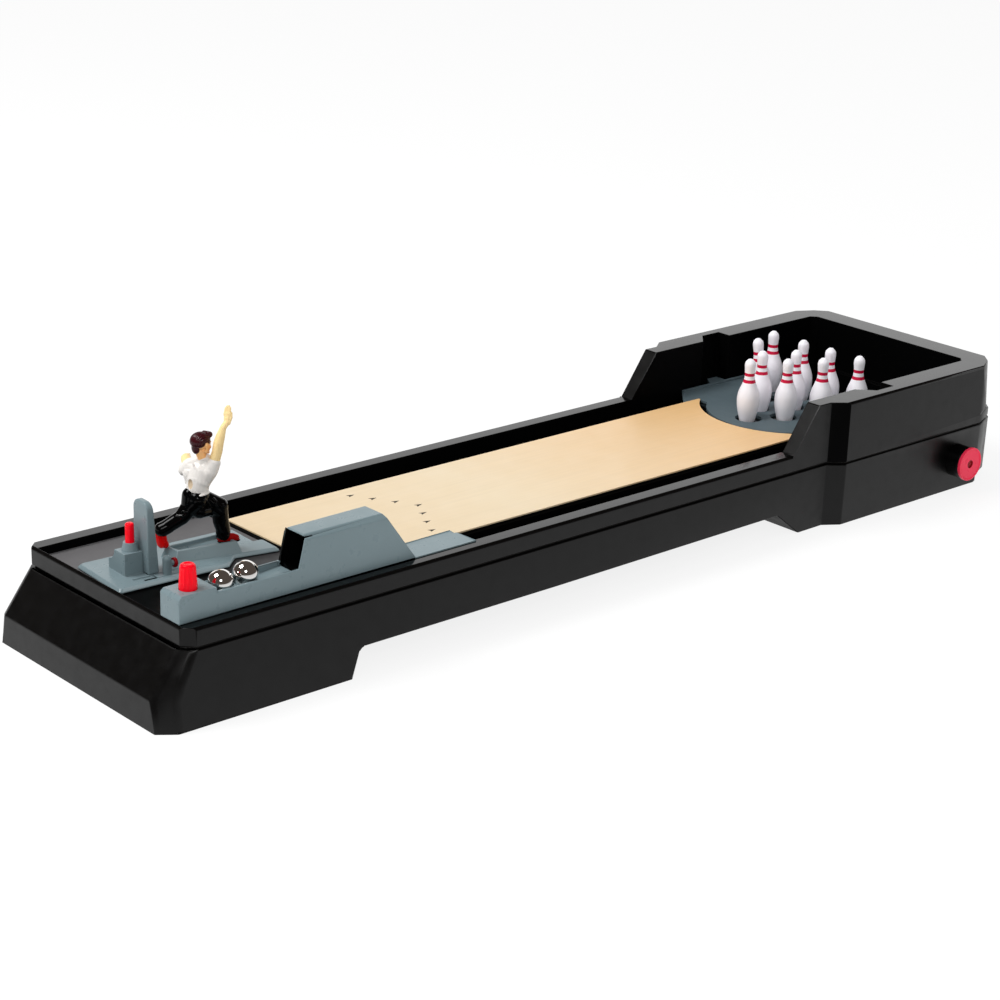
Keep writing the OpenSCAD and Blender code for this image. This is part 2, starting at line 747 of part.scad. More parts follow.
// The foot of the aiming grip, and with a clearance g the slot that it is pressed into
module grip_foot(g) {
    translate([grip_u[0] + 2 - g, grip_v[0] + 0.8 - g, plate_z[0] + 0.2])
        cube([8 + 2 * g, 3.6 + 2 * g, 3]);
}

module launcher_screw() {
    color(steel) translate([pivot_at[0], pivot_at[1], floor_z - 3.4]) cross_screw(3.2, 1.1, 4.2);
}

module aim_washer() {
    color(steel) translate([pivot_at[0], pivot_at[1], floor_z - 3.4]) difference() {
        cylinder(r = 5, h = 0.8);
        translate([0, 0, -1]) cylinder(r = 1.15, h = 3);
    }
}

// The tall grip that the launcher is turned by: rounded top corners and a rear face that leans in
module aiming_grip() {
    r = 4;
    t = grip_v[1] - grip_v[0];
    w = grip_u[1] - grip_u[0];
    tip_t = 3.1;
    color(blue_grey) at_pivot() {
        intersection() {
            translate([grip_u[0], grip_v[1], plate_z[1]]) rotate([90, 0, 0]) linear_extrude(t) {
                square([w, grip_h - r]);
                translate([r, 0]) square([w - 2 * r, grip_h]);
                for (x = [r, w - r]) translate([x, grip_h - r]) circle(r = r);
            }
            translate([0, grip_v[0], plate_z[1]]) across(60)
                polygon([[-1, -1], [t, -1], [t, 0], [tip_t, grip_h], [tip_t, grip_h + 1], [-1, grip_h + 1]]);
        }
        grip_foot(0);
    }
}

// The striker: a flush slide with a round post and an arm for the pad
module striker() {
    u = striker_at[0];
    v = striker_at[1];
    post_r = 1.96;
    color(blue_grey) at_pivot() {
        translate([u - post_r, v - 5.6, plate_z[1] - 0.6]) cube([2 * post_r, 13.6, 0.6]);
        translate([u, v, plate_z[1] - 0.3]) cylinder(r = post_r, h = 8.4 - post_r + 0.3);
        translate([u, v, plate_z[1] + 8.4 - post_r]) sphere(r = post_r);
        rod_y(1.2, v, v + 3, u, striker_z);
        translate([u - 0.6, v - 1, plate_z[0] + 0.45]) cube([1.2, 3, plate_z[1] - plate_z[0] - 0.6]);
    }
}

// The keeper under the plate that holds the striker down
module striker_keeper() {
    u = striker_at[0];
    v = striker_at[1];
    color(black) at_pivot() translate([u - 1.9, v - 4, plate_z[0]]) cube([3.8, 8, 0.45]);
}

// The red pad that hits the ball
module striker_pad() {
    color(red) at_pivot() rod_y(2.2, striker_at[1] + 3, striker_at[1] + 4.5, striker_at[0], striker_z);
}

module trigger_peg() {
    color(red) at_pivot() translate([peg_at[0], peg_at[1], 0]) {
        translate([0, 0, tower_z - 2.2]) cylinder(r = peg_r, h = 13.7);
        translate([0, 0, tower_z + 11.5 - eps]) cylinder(r1 = peg_r, r2 = peg_r - 0.7, h = 0.8);
        translate([0, 0, tower_z - 3.5]) cylinder(r = 2.6, h = 1.3 + eps);
    }
}

module trigger_spring() {
    low = plate_z[0] + 1.2;
    color(steel) at_pivot() translate([peg_at[0], peg_at[1], low]) coil(2, 0.3, tower_z - 3.5 - low, 6);
}

// The plug that closes the tower from below
module trigger_plug() {
    color(black) at_pivot() translate([peg_at[0], peg_at[1], plate_z[0]]) cylinder(r = 2.88, h = 1.2);
}

// A rounded limb between two points
module limb(a, b, ra, rb) {
    hull() {
        translate(a) sphere(r = ra, $fn = 20);
        translate(b) sphere(r = rb, $fn = 20);
    }
}

// Joints of the figure, a bowler in the follow-through of a throw: the left leg in front, the right arm up
hip_l = [-12.8, 58.8, 66.2];
hip_r = [-9.5, 55.4, 66.2];
front_knee = [-9.1, 66.9, 61.4];
front_ankle = [-7.8, 68.1, 47.6];
rear_knee = [-12.5, 50, 58.6];
rear_ankle = [-16.1, 41.9, 54.4];
waist = [-11.2, 56.8, 70];
chest = [-10.7, 58.7, 78.6];
neck = [-10.2, 60.4, 85];
head_at = [-10.6, 59.3, 91.4];
shoulder_r = [-5.6, 61.6, 81.6];
shoulder_l = [-16.8, 56, 80.8];
elbow_r = [-4.6, 64.6, 93.8];
hand_r = [-4.2, 68, 104.3];
elbow_l = [-22, 59.1, 81];
hand_l = [-26.4, 63, 80.2];

module figure_trousers() {
    color([0.05, 0.05, 0.06]) {
        limb(hip_l, hip_r, 4.3, 4.3);
        limb(hip_l, front_knee, 4.1, 4);
        limb(front_knee, front_ankle, 3.9, 2.8);
        limb(hip_r, rear_knee, 4.1, 3.7);
        limb(rear_knee, rear_ankle, 3.6, 3.4);
    }
}

module figure_shirt() {
    color([0.95, 0.94, 0.92]) difference() {
        union() {
            hull() {
                translate(waist) scale([1.15, 1, 0.8]) sphere(r = 4.2, $fn = 24);
                translate(chest) scale([1.2, 1, 1]) sphere(r = 4.6, $fn = 24);
            }
            limb(shoulder_r, shoulder_l, 2.7, 2.7);
            limb(shoulder_r, shoulder_r * 0.6 + elbow_r * 0.4, 3.1, 2.8);
            limb(shoulder_l, shoulder_l * 0.5 + elbow_l * 0.5, 2.7, 2.5);
        }
        figure_trousers();
        head_form();
        arm_right_form();
        arm_left_form();
    }
}

module head_form() {
    translate(head_at) scale([0.88, 1, 1.1]) sphere(r = 4.6, $fn = 28);
    limb(head_at - [0, -0.4, 3], neck - [0, 0, 1.5], 2, 2.2);
}

module figure_head() {
    color(skin) head_form();
}

// The hair: a cap over the head, cut away before the face and below the neck's hairline
module figure_hair() {
    color([0.16, 0.06, 0.05]) difference() {
        translate(head_at + [0, -0.5, 0.6]) scale([0.93, 1.02, 1.08]) sphere(r = 4.95, $fn = 28);
        head_form();
        translate(head_at + [-10, 1.4, -12]) rotate([-24, 0, 0]) cube([20, 10, 13]);
        translate(head_at + [-10, -10, -15]) cube([20, 20, 12.2]);
    }
}

module arm_right_form() {
    mid = shoulder_r * 0.6 + elbow_r * 0.4;
    wrist = elbow_r * 0.5 + hand_r * 0.5;
    limb(mid, elbow_r, 2.2, 2.25);
    limb(elbow_r, wrist, 2.25, 1.5);
    limb(wrist, hand_r, 1.5, 1.8);
    limb(hand_r, hand_r + [0.2, 0.6, 3.5], 1.8, 1.2);
}

module figure_right_arm() {
    color(skin) arm_right_form();
}

module arm_left_form() {
    mid = shoulder_l * 0.5 + elbow_l * 0.5;
    limb(mid, elbow_l, 2.1, 2);
    limb(elbow_l, hand_l, 2, 1.4);
    limb(hand_l, hand_l + [-2.4, 2.4, -0.6], 1.6, 1);
}

module figure_left_arm() {
    color(skin) arm_left_form();
}

module figure_shoes() {
    color([0.75, 0.05, 0.08]) difference() {
        union() {
            limb([-8.3, 66.4, 46.2], [-6.6, 72.4, 46], 2.1, 1.9);
            limb([-16.4, 40.6, 50.4], [-16.3, 41.4, 47.3], 2.4, 2);
        }
        figure_trousers();
        at_pivot() difference() {
            tray_form();
            tray_recess();
        }
    }
}

// The black round housing on the side wall that the knob's hub slides in
module knob_boss() {
    color(black) difference() {
        union() {
            rod_x(boss_r, wall_x, boss_end, knob_y, knob_z);
            rod_x(4.1, wall_x - 5, wall_x + eps, knob_y, knob_z);
        }
        rod_x(shaft_r + 0.05, wall_x - 6, boss_end, knob_y, knob_z);
        rod_x(4.15, hub_x - gap, boss_end + 1, knob_y, knob_z);
    }
}

// The red disc with a raised rim, a dimple in its middle and a hub behind it
module reset_knob() {
    x = boss_end + gap;
    color(red) difference() {
        union() {
            rod_x(knob_r, x, x + 1.8, knob_y, knob_z);
            rod_x(4, hub_x, x + eps, knob_y, knob_z);
        }
        rod_x(knob_r - 1, x + 1.5, x + 4, knob_y, knob_z);
        rod_x(2.1, x + 0.7, x + 4, knob_y, knob_z);
        rod_x(shaft_r, hub_x - 1, x - 0.6, knob_y, knob_z);
    }
}

module reset_shaft() {
    color(steel) rod_x(shaft_r, -42, boss_end + gap - 0.6, knob_y, knob_z);
}

// The carriage under the deck that draws the pins' cords tight, with one hole for each cord
module cord_carriage() {
    plate_top = knob_z + 1;
    color(black) difference() {
        union() {
            translate([-33, 398, plate_top - 2]) cube([50, 80, 2]);
            translate([-14, 470, plate_top - 2]) cube([20, knob_y - 470, 2]);
            rod_x(3.8, -14, 6, knob_y, knob_z);
        }
        rod_x(shaft_r, -20, 10, knob_y, knob_z);
        for (p = pin_places()) translate([p[0] * 0.6 - 8, p[1] * 0.8 + 86, 0])
            cylinder(r = 1.1, h = 40, $fn = 24);
    }
}

// A clip on the shaft that stops it at the guide when the knob is out
module shaft_clip() {
    color(steel) difference() {
        rod_x(3.6, 31, 32.4, knob_y, knob_z);
        rod_x(shaft_r, 30, 34, knob_y, knob_z);
    }
}

// Radii up a pin as parts of its height, joined by a smooth curve
pin_line = [[0, 0.68], [0.074, 0.77], [0.157, 0.88], [0.24, 0.967], [0.32, 1], [0.405, 0.98],
            [0.49, 0.865], [0.57, 0.69], [0.653, 0.52], [0.72, 0.45], [0.77, 0.445], [0.83, 0.466],
            [0.9, 0.49], [0.95, 0.44], [0.985, 0.26]];

// How far each pin stands from its regular place, as if set down by hand
pin_shift = [[-1, 0], [2.1, 0], [0.95, 0], [-2, 0], [2, -0.6], [1.4, -0.2], [-1.7, 0.5], [0.85, 0.5],
             [0.65, 0.7], [0.65, 1.8]];
leaning_pin = 4;
pin_lean = 6.9;

// A point on the curve through four neighbours
function curve(a, b, c, d, t) = 0.5 * (2 * b + (c - a) * t + (2 * a - 5 * b + 4 * c - d) * t * t
    + (3 * b - a - 3 * c + d) * t * t * t);
function smooth_line(p, n) = [for (i = [0:len(p) - 2]) for (k = [0:n - 1])
    curve(p[max(i - 1, 0)], p[i], p[i + 1], p[min(i + 2, len(p) - 1)], k / n)];

// A pin's half outline, from the middle of its base to its top
function pin_outline() = concat([[0, 0]], [for (q = smooth_line(pin_line, 2)) [q[1] * pin_r, q[0] * pin_h]],
    [[0.26 * pin_r, 0.985 * pin_h], [0.12 * pin_r, 0.998 * pin_h], [0, pin_h]]);

module pin(i) {
    p = pin_places()[i - 1] + pin_shift[i - 1];
    lean = i == leaning_pin ? pin_lean : 0;
    color([0.93, 0.92, 0.94]) translate([p[0], p[1], floor_z + 0.68 * pin_r * sin(lean)])
        rotate([0, -lean, 0]) rotate_extrude() polygon(pin_outline());
}

module pin_1() { pin(1); }
module pin_2() { pin(2); }
module pin_3() { pin(3); }
module pin_4() { pin(4); }
module pin_5() { pin(5); }
module pin_6() { pin(6); }
module pin_7() { pin(7); }
module pin_8() { pin(8); }
module pin_9() { pin(9); }
module pin_10() { pin(10); }

// A ball at rest on the sloping floor of the trough
module ball(y) {
    slope = (trough_z[1] - trough_z[0]) / (hood_y[0] - block_end);
    z = trough_z[0] + slope * (y - block_end) + ball_d / 2 * sqrt(1 + slope * slope);
    color(steel) translate([(left_x(y) + con_right) / 2, y, z]) sphere(d = ball_d);
}

module ball_1() { ball(26.6); }
module ball_2() { ball(39.4); }

lower_casing();
front_bay();
upper_casing();
pin_enclosure();
casing_screws();
lane_board();
pin_deck();
pin_seat_plate();
deck_screws();
ball_console();
return_ramp();
console_button();
button_spring();
launcher_plate();
launcher_screw();
aim_washer();
aiming_grip();
striker();
striker_pad();
striker_keeper();
trigger_peg();
trigger_spring();
trigger_plug();
figure_trousers();
figure_shirt();
figure_head();
figure_hair();
figure_right_arm();
figure_left_arm();
figure_shoes();
knob_boss();
reset_knob();
reset_shaft();
cord_carriage();
shaft_clip();
pin_1();
pin_2();
pin_3();
pin_4();
pin_5();
pin_6();
pin_7();
pin_8();
pin_9();
pin_10();
ball_1();
ball_2();
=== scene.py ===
import math

import bmesh
import bpy
from mathutils import Matrix, Vector


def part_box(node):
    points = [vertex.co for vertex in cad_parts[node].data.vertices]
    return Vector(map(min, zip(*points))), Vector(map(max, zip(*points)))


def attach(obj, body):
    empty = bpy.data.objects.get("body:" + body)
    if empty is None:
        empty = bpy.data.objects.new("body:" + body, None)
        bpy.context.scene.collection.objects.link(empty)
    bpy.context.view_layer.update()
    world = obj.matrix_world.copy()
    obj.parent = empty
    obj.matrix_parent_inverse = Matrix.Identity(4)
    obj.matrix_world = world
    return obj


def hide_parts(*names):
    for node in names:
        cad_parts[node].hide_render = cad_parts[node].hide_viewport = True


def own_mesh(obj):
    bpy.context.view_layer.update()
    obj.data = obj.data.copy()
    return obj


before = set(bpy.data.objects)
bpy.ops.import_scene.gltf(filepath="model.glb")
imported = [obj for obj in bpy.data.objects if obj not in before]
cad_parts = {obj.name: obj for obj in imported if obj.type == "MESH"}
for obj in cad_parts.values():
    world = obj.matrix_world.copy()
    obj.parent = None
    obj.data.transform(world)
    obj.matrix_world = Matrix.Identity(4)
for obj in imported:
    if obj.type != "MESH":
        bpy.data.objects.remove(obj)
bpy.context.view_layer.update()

mm = 0.001
print("frame loaded")


# Materials

# A material with its main parts, and the place of each point on the piece
def newMaterial(name):
    mat = bpy.data.materials.new(name)
    mat.use_nodes = True
    nodes, links = mat.node_tree.nodes, mat.node_tree.links
    shader = nodes["Principled BSDF"]
    place = nodes.new("ShaderNodeTexCoord")
    return mat, nodes, links, shader, place.outputs["Object"]


def addNoise(nodes, links, place, scale, detail=3.0, rough=0.5):
    noise = nodes.new("ShaderNodeTexNoise")
    noise.inputs["Scale"].default_value = scale
    noise.inputs["Detail"].default_value = detail
    noise.inputs["Roughness"].default_value = rough
    links.new(place, noise.inputs["Vector"])
    return noise.outputs["Fac"]


def addRamp(nodes, links, value, stops):
    ramp = nodes.new("ShaderNodeValToRGB")
    links.new(value, ramp.inputs["Fac"])
    while len(ramp.color_ramp.elements) < len(stops):
        ramp.color_ramp.elements.new(0.5)
    for point, (at, colour) in zip(ramp.color_ramp.elements, stops):
        point.position = at
        point.color = (*colour, 1) if len(colour) == 3 else colour
    return ramp.outputs["Color"]


def addBump(nodes, links, shader, height, strength, distance):
    bump = nodes.new("ShaderNodeBump")
    bump.inputs["Strength"].default_value = strength
    bump.inputs["Distance"].default_value = distance
    links.new(height, bump.inputs["Height"])
    links.new(bump.outputs["Normal"], shader.inputs["Normal"])


def addMultiply(nodes, links, first, second):
    mix = nodes.new("ShaderNodeMix")
    mix.data_type = "RGBA"
    mix.blend_type = "MULTIPLY"
    mix.inputs[0].default_value = 1
    links.new(first, mix.inputs[6])
    links.new(second, mix.inputs[7])
    return mix.outputs[2]


def grey(v):
    return (v, v, v)


# Roughness that wanders between two values
def addGloss(nodes, links, shader, noise, low, high, spread=(0.3, 0.7)):
    stops = [(at, grey(rough)) for at, rough in zip(spread, (low, high))]
    links.new(addRamp(nodes, links, noise, stops), shader.inputs["Roughness"])


# How fine each pattern of the plastic is, and the depth of its skin in metres
moulding = {"drift": 28, "wear": 160, "skin": 2600, "skinDepth": 0.00004}


# Moulded plastic: a little colour drift, uneven gloss between two roughnesses, and a fine moulding skin
def mouldedPlastic(name, colour, drift, gloss, skin, ior=1.46):
    mat, nodes, links, shader, place = newMaterial(name)
    soft = addNoise(nodes, links, place, moulding["drift"], 4)
    low = tuple(c * (1 - drift) for c in colour)
    high = tuple(min(c * (1 + drift), 1) for c in colour)
    links.new(addRamp(nodes, links, soft, [(0.3, low), (0.7, high)]), shader.inputs["Base Color"])
    wear = addNoise(nodes, links, place, moulding["wear"], 5, 0.6)
    addGloss(nodes, links, shader, wear, *gloss, (0.3, 0.72))
    grain = addNoise(nodes, links, place, moulding["skin"], 2)
    addBump(nodes, links, shader, grain, skin, moulding["skinDepth"])
    shader.inputs["IOR"].default_value = ior
    return mat


# Steel: how fine its clouds and its wear are, and the share of its colour that the clouds keep
steel = {"tone": 200, "wear": 420, "cloud": 0.94}


def polishedSteel(name, colour, gloss):
    mat, nodes, links, shader, place = newMaterial(name)
    shader.inputs["Metallic"].default_value = 1
    tone = addNoise(nodes, links, place, steel["tone"], 3)
    cloud = tuple(c * steel["cloud"] for c in colour)
    links.new(addRamp(nodes, links, tone, [(0.3, cloud), (0.7, colour)]), shader.inputs["Base Color"])
    wear = addNoise(nodes, links, place, steel["wear"], 5, 0.65)
    addGloss(nodes, links, shader, wear, *gloss, (0.35, 0.75))
    return mat


finish = {
    "blackPlastic": (0.0012, 0.0012, 0.0013),
    # the bay floor's grey is a painted reflection
    "bayFloor": (0.125, 0.122, 0.125),
    "blueGreyPlastic": (0.175, 0.235, 0.255),
    # a paler blue-grey, as painted light on the sloped flanks
    "flankLitBlueGrey": (0.25, 0.315, 0.335),
    # the deck's blue-grey darkened, as painted shade under the enclosure walls
    "deckShadedBlueGrey": (0.088, 0.12, 0.135),
    "redPlastic": (0.98, 0.001, 0.014),
    # red with a pink painted sheen
    "knobRedAndSheen": (1.0, 0.04, 0.1),
    "whitePlastic": (0.91, 0.89, 0.94),
    "laneNear": (0.71, 0.55, 0.345),
    "laneMiddle": (0.76, 0.62, 0.42),
    "laneFar": (0.82, 0.507, 0.228),
    "laneMark": (0.03, 0.02, 0.01),
    "darkRed": (0.28, 0.002, 0.006),
    "ringRed": (0.58, 0.004, 0.045),
    "blackLacquer": (0.001, 0.001, 0.0012),
    "whiteLacquer": (0.81, 0.775, 0.735),
    "skin": (0.95, 0.71, 0.34),
    "face": (0.92, 0.5, 0.2),
    "hair": (0.036, 0.003, 0.005),
    "shoeRed": (0.72, 0.002, 0.003),
    # a darker shoe red, as painted shade on the front shoe
    "shadedShoeRed": (0.3, 0.002, 0.002),
    "shirtHole": (0.6, 0.47, 0.32),
    "lips": (0.62, 0.2, 0.12),
    "ballSteel": (0.82, 0.8, 0.78),
    "screwSteel": (0.6, 0.6, 0.58),
}

# Each plastic or lacquer: its colour, how far that drifts, its range of roughness, its skin and its IOR
blackPlastic = mouldedPlastic("black_plastic", finish["blackPlastic"], 0.1, (0.28, 0.4), 0.02, 1.34)
blackGloss = mouldedPlastic("black_plastic_top", finish["blackPlastic"], 0.1, (0.1, 0.18), 0.01, 1.34)
# A duller, less reflective copy of the black, as painted shade on inner walls and undersides
blackShade = mouldedPlastic("black_plastic_painted_shade", finish["blackPlastic"], 0.1, (0.4, 0.5), 0.02, 1.1)
bluePlastic = mouldedPlastic("blue_grey_plastic", finish["blueGreyPlastic"], 0.03, (0.25, 0.36), 0.03, 1.38)
# A paler copy of the blue-grey, as painted light on the sloped flanks
litPlastic = mouldedPlastic("blue_grey_painted_light", finish["flankLitBlueGrey"], 0.03, (0.25, 0.36), 0.03, 1.38)
# The pin deck is a darker copy of the blue-grey, as painted shade under the enclosure walls
deckShadedBlueGrey = mouldedPlastic("deck_blue_grey_painted_shade", finish["deckShadedBlueGrey"], 0.03, (0.34, 0.46), 0.03, 1.15)
redPlastic = mouldedPlastic("red_plastic", finish["redPlastic"], 0.02, (0.2, 0.3), 0.02, 1.22)
# The knob is red plastic whose pinker, paler tint is a painted sheen
knobRedAndSheen = mouldedPlastic("knob_red_painted_sheen", finish["knobRedAndSheen"], 0.02, (0.25, 0.35), 0.02, 1.3)
darkRed = mouldedPlastic("dark_red_plastic", finish["darkRed"], 0.06, (0.24, 0.36), 0.03, 1.3)
whitePlastic = mouldedPlastic("white_plastic", finish["whitePlastic"], 0.02, (0.3, 0.42), 0.02)
ringRed = mouldedPlastic("ring_red", finish["ringRed"], 0.05, (0.3, 0.4), 0.02, 1.35)
laneMark = mouldedPlastic("lane_mark", finish["laneMark"], 0.1, (0.4, 0.5), 0.02, 1.2)
blackLacquer = mouldedPlastic("black_lacquer", finish["blackLacquer"], 0.1, (0.09, 0.15), 0.02, 1.24)
whiteLacquer = mouldedPlastic("white_lacquer", finish["whiteLacquer"], 0.02, (0.25, 0.36), 0.03)
skinLacquer = mouldedPlastic("skin_lacquer", finish["skin"], 0.04, (0.3, 0.45), 0.03)
faceLacquer = mouldedPlastic("face_lacquer", finish["face"], 0.05, (0.3, 0.45), 0.03)
hairLacquer = mouldedPlastic("hair_lacquer", finish["hair"], 0.3, (0.18, 0.3), 0.1, 1.33)
redLacquer = mouldedPlastic("red_lacquer", finish["shoeRed"], 0.1, (0.12, 0.25), 0.02, 1.3)
# A darker copy of the shoe red, as painted shade
shadedRedLacquer = mouldedPlastic("red_lacquer_painted_shade", finish["shadedShoeRed"], 0.1, (0.12, 0.25), 0.02, 1.3)
ballSteel = polishedSteel("ball_steel", finish["ballSteel"], (0.03, 0.1))
shirtHole = mouldedPlastic("shirt_hole", finish["shirtHole"], 0.1, (0.4, 0.5), 0.03)
lipLacquer = mouldedPlastic("lip_lacquer", finish["lips"], 0.05, (0.3, 0.4), 0.02)
screwSteel = polishedSteel("screw_steel", finish["screwSteel"], (0.2, 0.38))


# The floor of the player's bay is satin. Its grey is a painted reflection that gets paler to the left and
# towards the lane, and it darkens to black elsewhere as painted shade: where each fade starts and stops along
# its axis, in metres, and how far it goes
bay = {"fades": {"X": (0.004, -0.014, 1), "Y": (0.05, 0.074, 0.5)}, "paintedShadeTone": grey(0.0012),
       "drift": 30, "wear": 160, "gloss": (0.34, 0.46), "ior": 1.12}


def bayReflectionAndShadeMaterial():
    mat, nodes, links, shader, place = newMaterial("bay_floor_painted_reflection_and_shade")
    split = nodes.new("ShaderNodeSeparateXYZ")
    links.new(place, split.inputs[0])
    tones = []
    for side, (start, stop, share) in bay["fades"].items():
        fade = nodes.new("ShaderNodeMapRange")
        fade.inputs["From Min"].default_value = start
        fade.inputs["From Max"].default_value = stop
        fade.inputs["To Max"].default_value = share
        links.new(split.outputs[side], fade.inputs["Value"])
        tones.append(fade.outputs["Result"])
    paintedReflectionShare = nodes.new("ShaderNodeMath")
    paintedReflectionShare.operation = "MAXIMUM"
    for tone, socket in zip(tones, paintedReflectionShare.inputs):
        links.new(tone, socket)
    # From black as painted shade up to the grey of the painted reflection
    base = addRamp(nodes, links, paintedReflectionShare.outputs[0], [(0, bay["paintedShadeTone"]), (1, finish["bayFloor"])])
    soft = addNoise(nodes, links, place, bay["drift"], 4)
    veins = addRamp(nodes, links, soft, [(0.3, grey(0.94)), (0.7, grey(1.0))])
    links.new(addMultiply(nodes, links, base, veins), shader.inputs["Base Color"])
    addGloss(nodes, links, shader, addNoise(nodes, links, place, bay["wear"], 4), *bay["gloss"])
    shader.inputs["IOR"].default_value = bay["ior"]
    return mat


bayFloor = bayReflectionAndShadeMaterial()


# Printed lane board: its tone drifts along the lane, from one place to another in metres, with a fine grain
# and a satin varnish
laneCoat = {"drift": (0.09, 0.4), "grain": (900, 18, 40), "wear": 90, "gloss": (0.34, 0.46), "ior": 1.4}


def laneMaterial():
    mat, nodes, links, shader, place = newMaterial("lane_print")
    split = nodes.new("ShaderNodeSeparateXYZ")
    links.new(place, split.inputs[0])
    along = nodes.new("ShaderNodeMapRange")
    along.inputs["From Min"].default_value, along.inputs["From Max"].default_value = laneCoat["drift"]
    links.new(split.outputs["Y"], along.inputs["Value"])
    stops = [(0, finish["laneNear"]), (0.4, finish["laneMiddle"]), (1, finish["laneFar"])]
    base = addRamp(nodes, links, along.outputs["Result"], stops)
    stretch = nodes.new("ShaderNodeMapping")
    stretch.inputs["Scale"].default_value = laneCoat["grain"]
    links.new(place, stretch.inputs["Vector"])
    grain = addNoise(nodes, links, stretch.outputs["Vector"], 1, 3)
    veins = addRamp(nodes, links, grain, [(0.35, grey(0.96)), (0.7, grey(1.0))])
    links.new(addMultiply(nodes, links, base, veins), shader.inputs["Base Color"])
    addGloss(nodes, links, shader, addNoise(nodes, links, place, laneCoat["wear"], 4), *laneCoat["gloss"])
    shader.inputs["IOR"].default_value = laneCoat["ior"]
    return mat


lanePrint = laneMaterial()

# The CAD nodes that show as they are; the pieces below stand for all the others
nodeMaterials = {
    "ball_1": ballSteel, "ball_2": ballSteel,
    "return_ramp": blackPlastic, "cord_carriage": blackPlastic,
    "striker_keeper": blackPlastic, "trigger_plug": blackPlastic, "pin_seat_plate": blackGloss,
    "casing_screws": screwSteel, "deck_screws": screwSteel, "launcher_screw": screwSteel,
    "aim_washer": screwSteel, "reset_shaft": screwSteel, "shaft_clip": screwSteel,
}
for name, mat in nodeMaterials.items():
    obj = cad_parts[name]
    obj.data.materials.clear()
    obj.data.materials.append(mat)
print("materials on the frame")


# Building pieces

# Puts a finished mesh in the set, riding its body and standing for its CAD nodes
def addPiece(bm, name, mats, body, nodes=()):
    mesh = bpy.data.meshes.new(name)
    bm.to_mesh(mesh)
    bm.free()
    for mat in mats:
        mesh.materials.append(mat)
    obj = bpy.data.objects.new(name, mesh)
    bpy.context.scene.collection.objects.link(obj)
    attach(obj, body)
    if nodes:
        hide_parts(*nodes)
    return obj


# Smooth shading that stays crisp where faces meet at more than the given angle
def shadeSmooth(bm, angle=40):
    for face in bm.faces:
        face.smooth = True
    for edge in bm.edges:
        turned = len(edge.link_faces) == 2 and edge.calc_face_angle(0) > math.radians(angle)
        edge.smooth = not turned


# Edges that turn less than flat are dissolved and more than sharp are rounded, in degrees; merge is in metres
rounding = {"flat": 0.6, "sharp": 32, "merge": 2e-6}


# A copy of a CAD node with its sharp edges rounded: a pass of its own rounds the edges it picks wider,
# plain picks the edges that stay sharp, and paint picks the material of each face
def softened(node, body, width, mats, shortest=1.2, passes=(), steps=3, plain=None, paint=None):
    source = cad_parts[node]
    bm = bmesh.new()
    bm.from_mesh(source.data)
    bm.transform(source.matrix_world)
    bmesh.ops.remove_doubles(bm, verts=bm.verts, dist=rounding["merge"])
    bmesh.ops.dissolve_limit(bm, angle_limit=math.radians(rounding["flat"]), verts=bm.verts,
                             edges=bm.edges, delimit={"SHARP"})
    bmesh.ops.connect_verts_concave(bm, faces=bm.faces)
    for pick, wide, count in passes:
        edges = [e for e in bm.edges if len(e.link_faces) == 2 and pick(e)]
        bmesh.ops.bevel(bm, geom=edges, offset=wide * mm, offset_type="OFFSET", segments=count, profile=0.5,
                        affect="EDGES", clamp_overlap=False, material=-1)
    steep = math.radians(rounding["sharp"])
    sharp = [e for e in bm.edges if len(e.link_faces) == 2 and e.calc_face_angle(0) > steep
             and e.calc_length() > shortest * mm and not (plain and plain(e))]
    bmesh.ops.bevel(bm, geom=sharp, offset=width * mm, offset_type="OFFSET", segments=steps, profile=0.5,
                    affect="EDGES", clamp_overlap=False, material=-1)
    bmesh.ops.remove_doubles(bm, verts=bm.verts, dist=rounding["merge"])
    shadeSmooth(bm)
    if paint:
        for face in bm.faces:
            face.material_index = paint(face)
    obj = addPiece(bm, node + "_soft", mats, body, [node])
    settle = obj.modifiers.new("face_normals", "WEIGHTED_NORMAL")
    settle.keep_sharp = True
    return obj


# Casing, lane and deck

# The tall edges at the front of the lower casing
def frontCorner(e):
    a, b = e.verts[0].co, e.verts[1].co
    reach = casing["cornerReach"] * mm
    tall = abs(a.z - b.z) > reach and abs(a.z - b.z) > 0.5 * (a - b).length
    return tall and max(a.y, b.y) < reach and e.calc_face_angle(0) > math.radians(15)


# Edges in the planes where the three slices of the upper moulding meet flush
def onJoint(e):
    return any(all(abs(v.co.y - y * mm) < 0.05 * mm for v in e.verts) for y in casing["joints"])


# Upward faces are glossy; faces towards the lane and the pins get the duller black as painted shade, and the
# bay's floor gets its paler grey as painted reflection
def casingGlossShadeAndReflection(face):
    p, n = face.calc_center_median() / mm, face.normal
    if n.z > casing["upward"]:
        return 3 if p.y < casing["joints"][0] and abs(p.z - casing["bayFloor"]) < 0.3 else 1
    inward = n.x * (casing["middle"] - p.x) > 0 and abs(n.x) > casing["turned"]
    return 2 if inward or (n.y < -casing["turned"] and p.y > casing["rearFrom"]) else 0


# Faces that look down get the duller black, as painted shade
def undersideShade(face):
    return 1 if face.normal.z < -casing["turned"] else 0


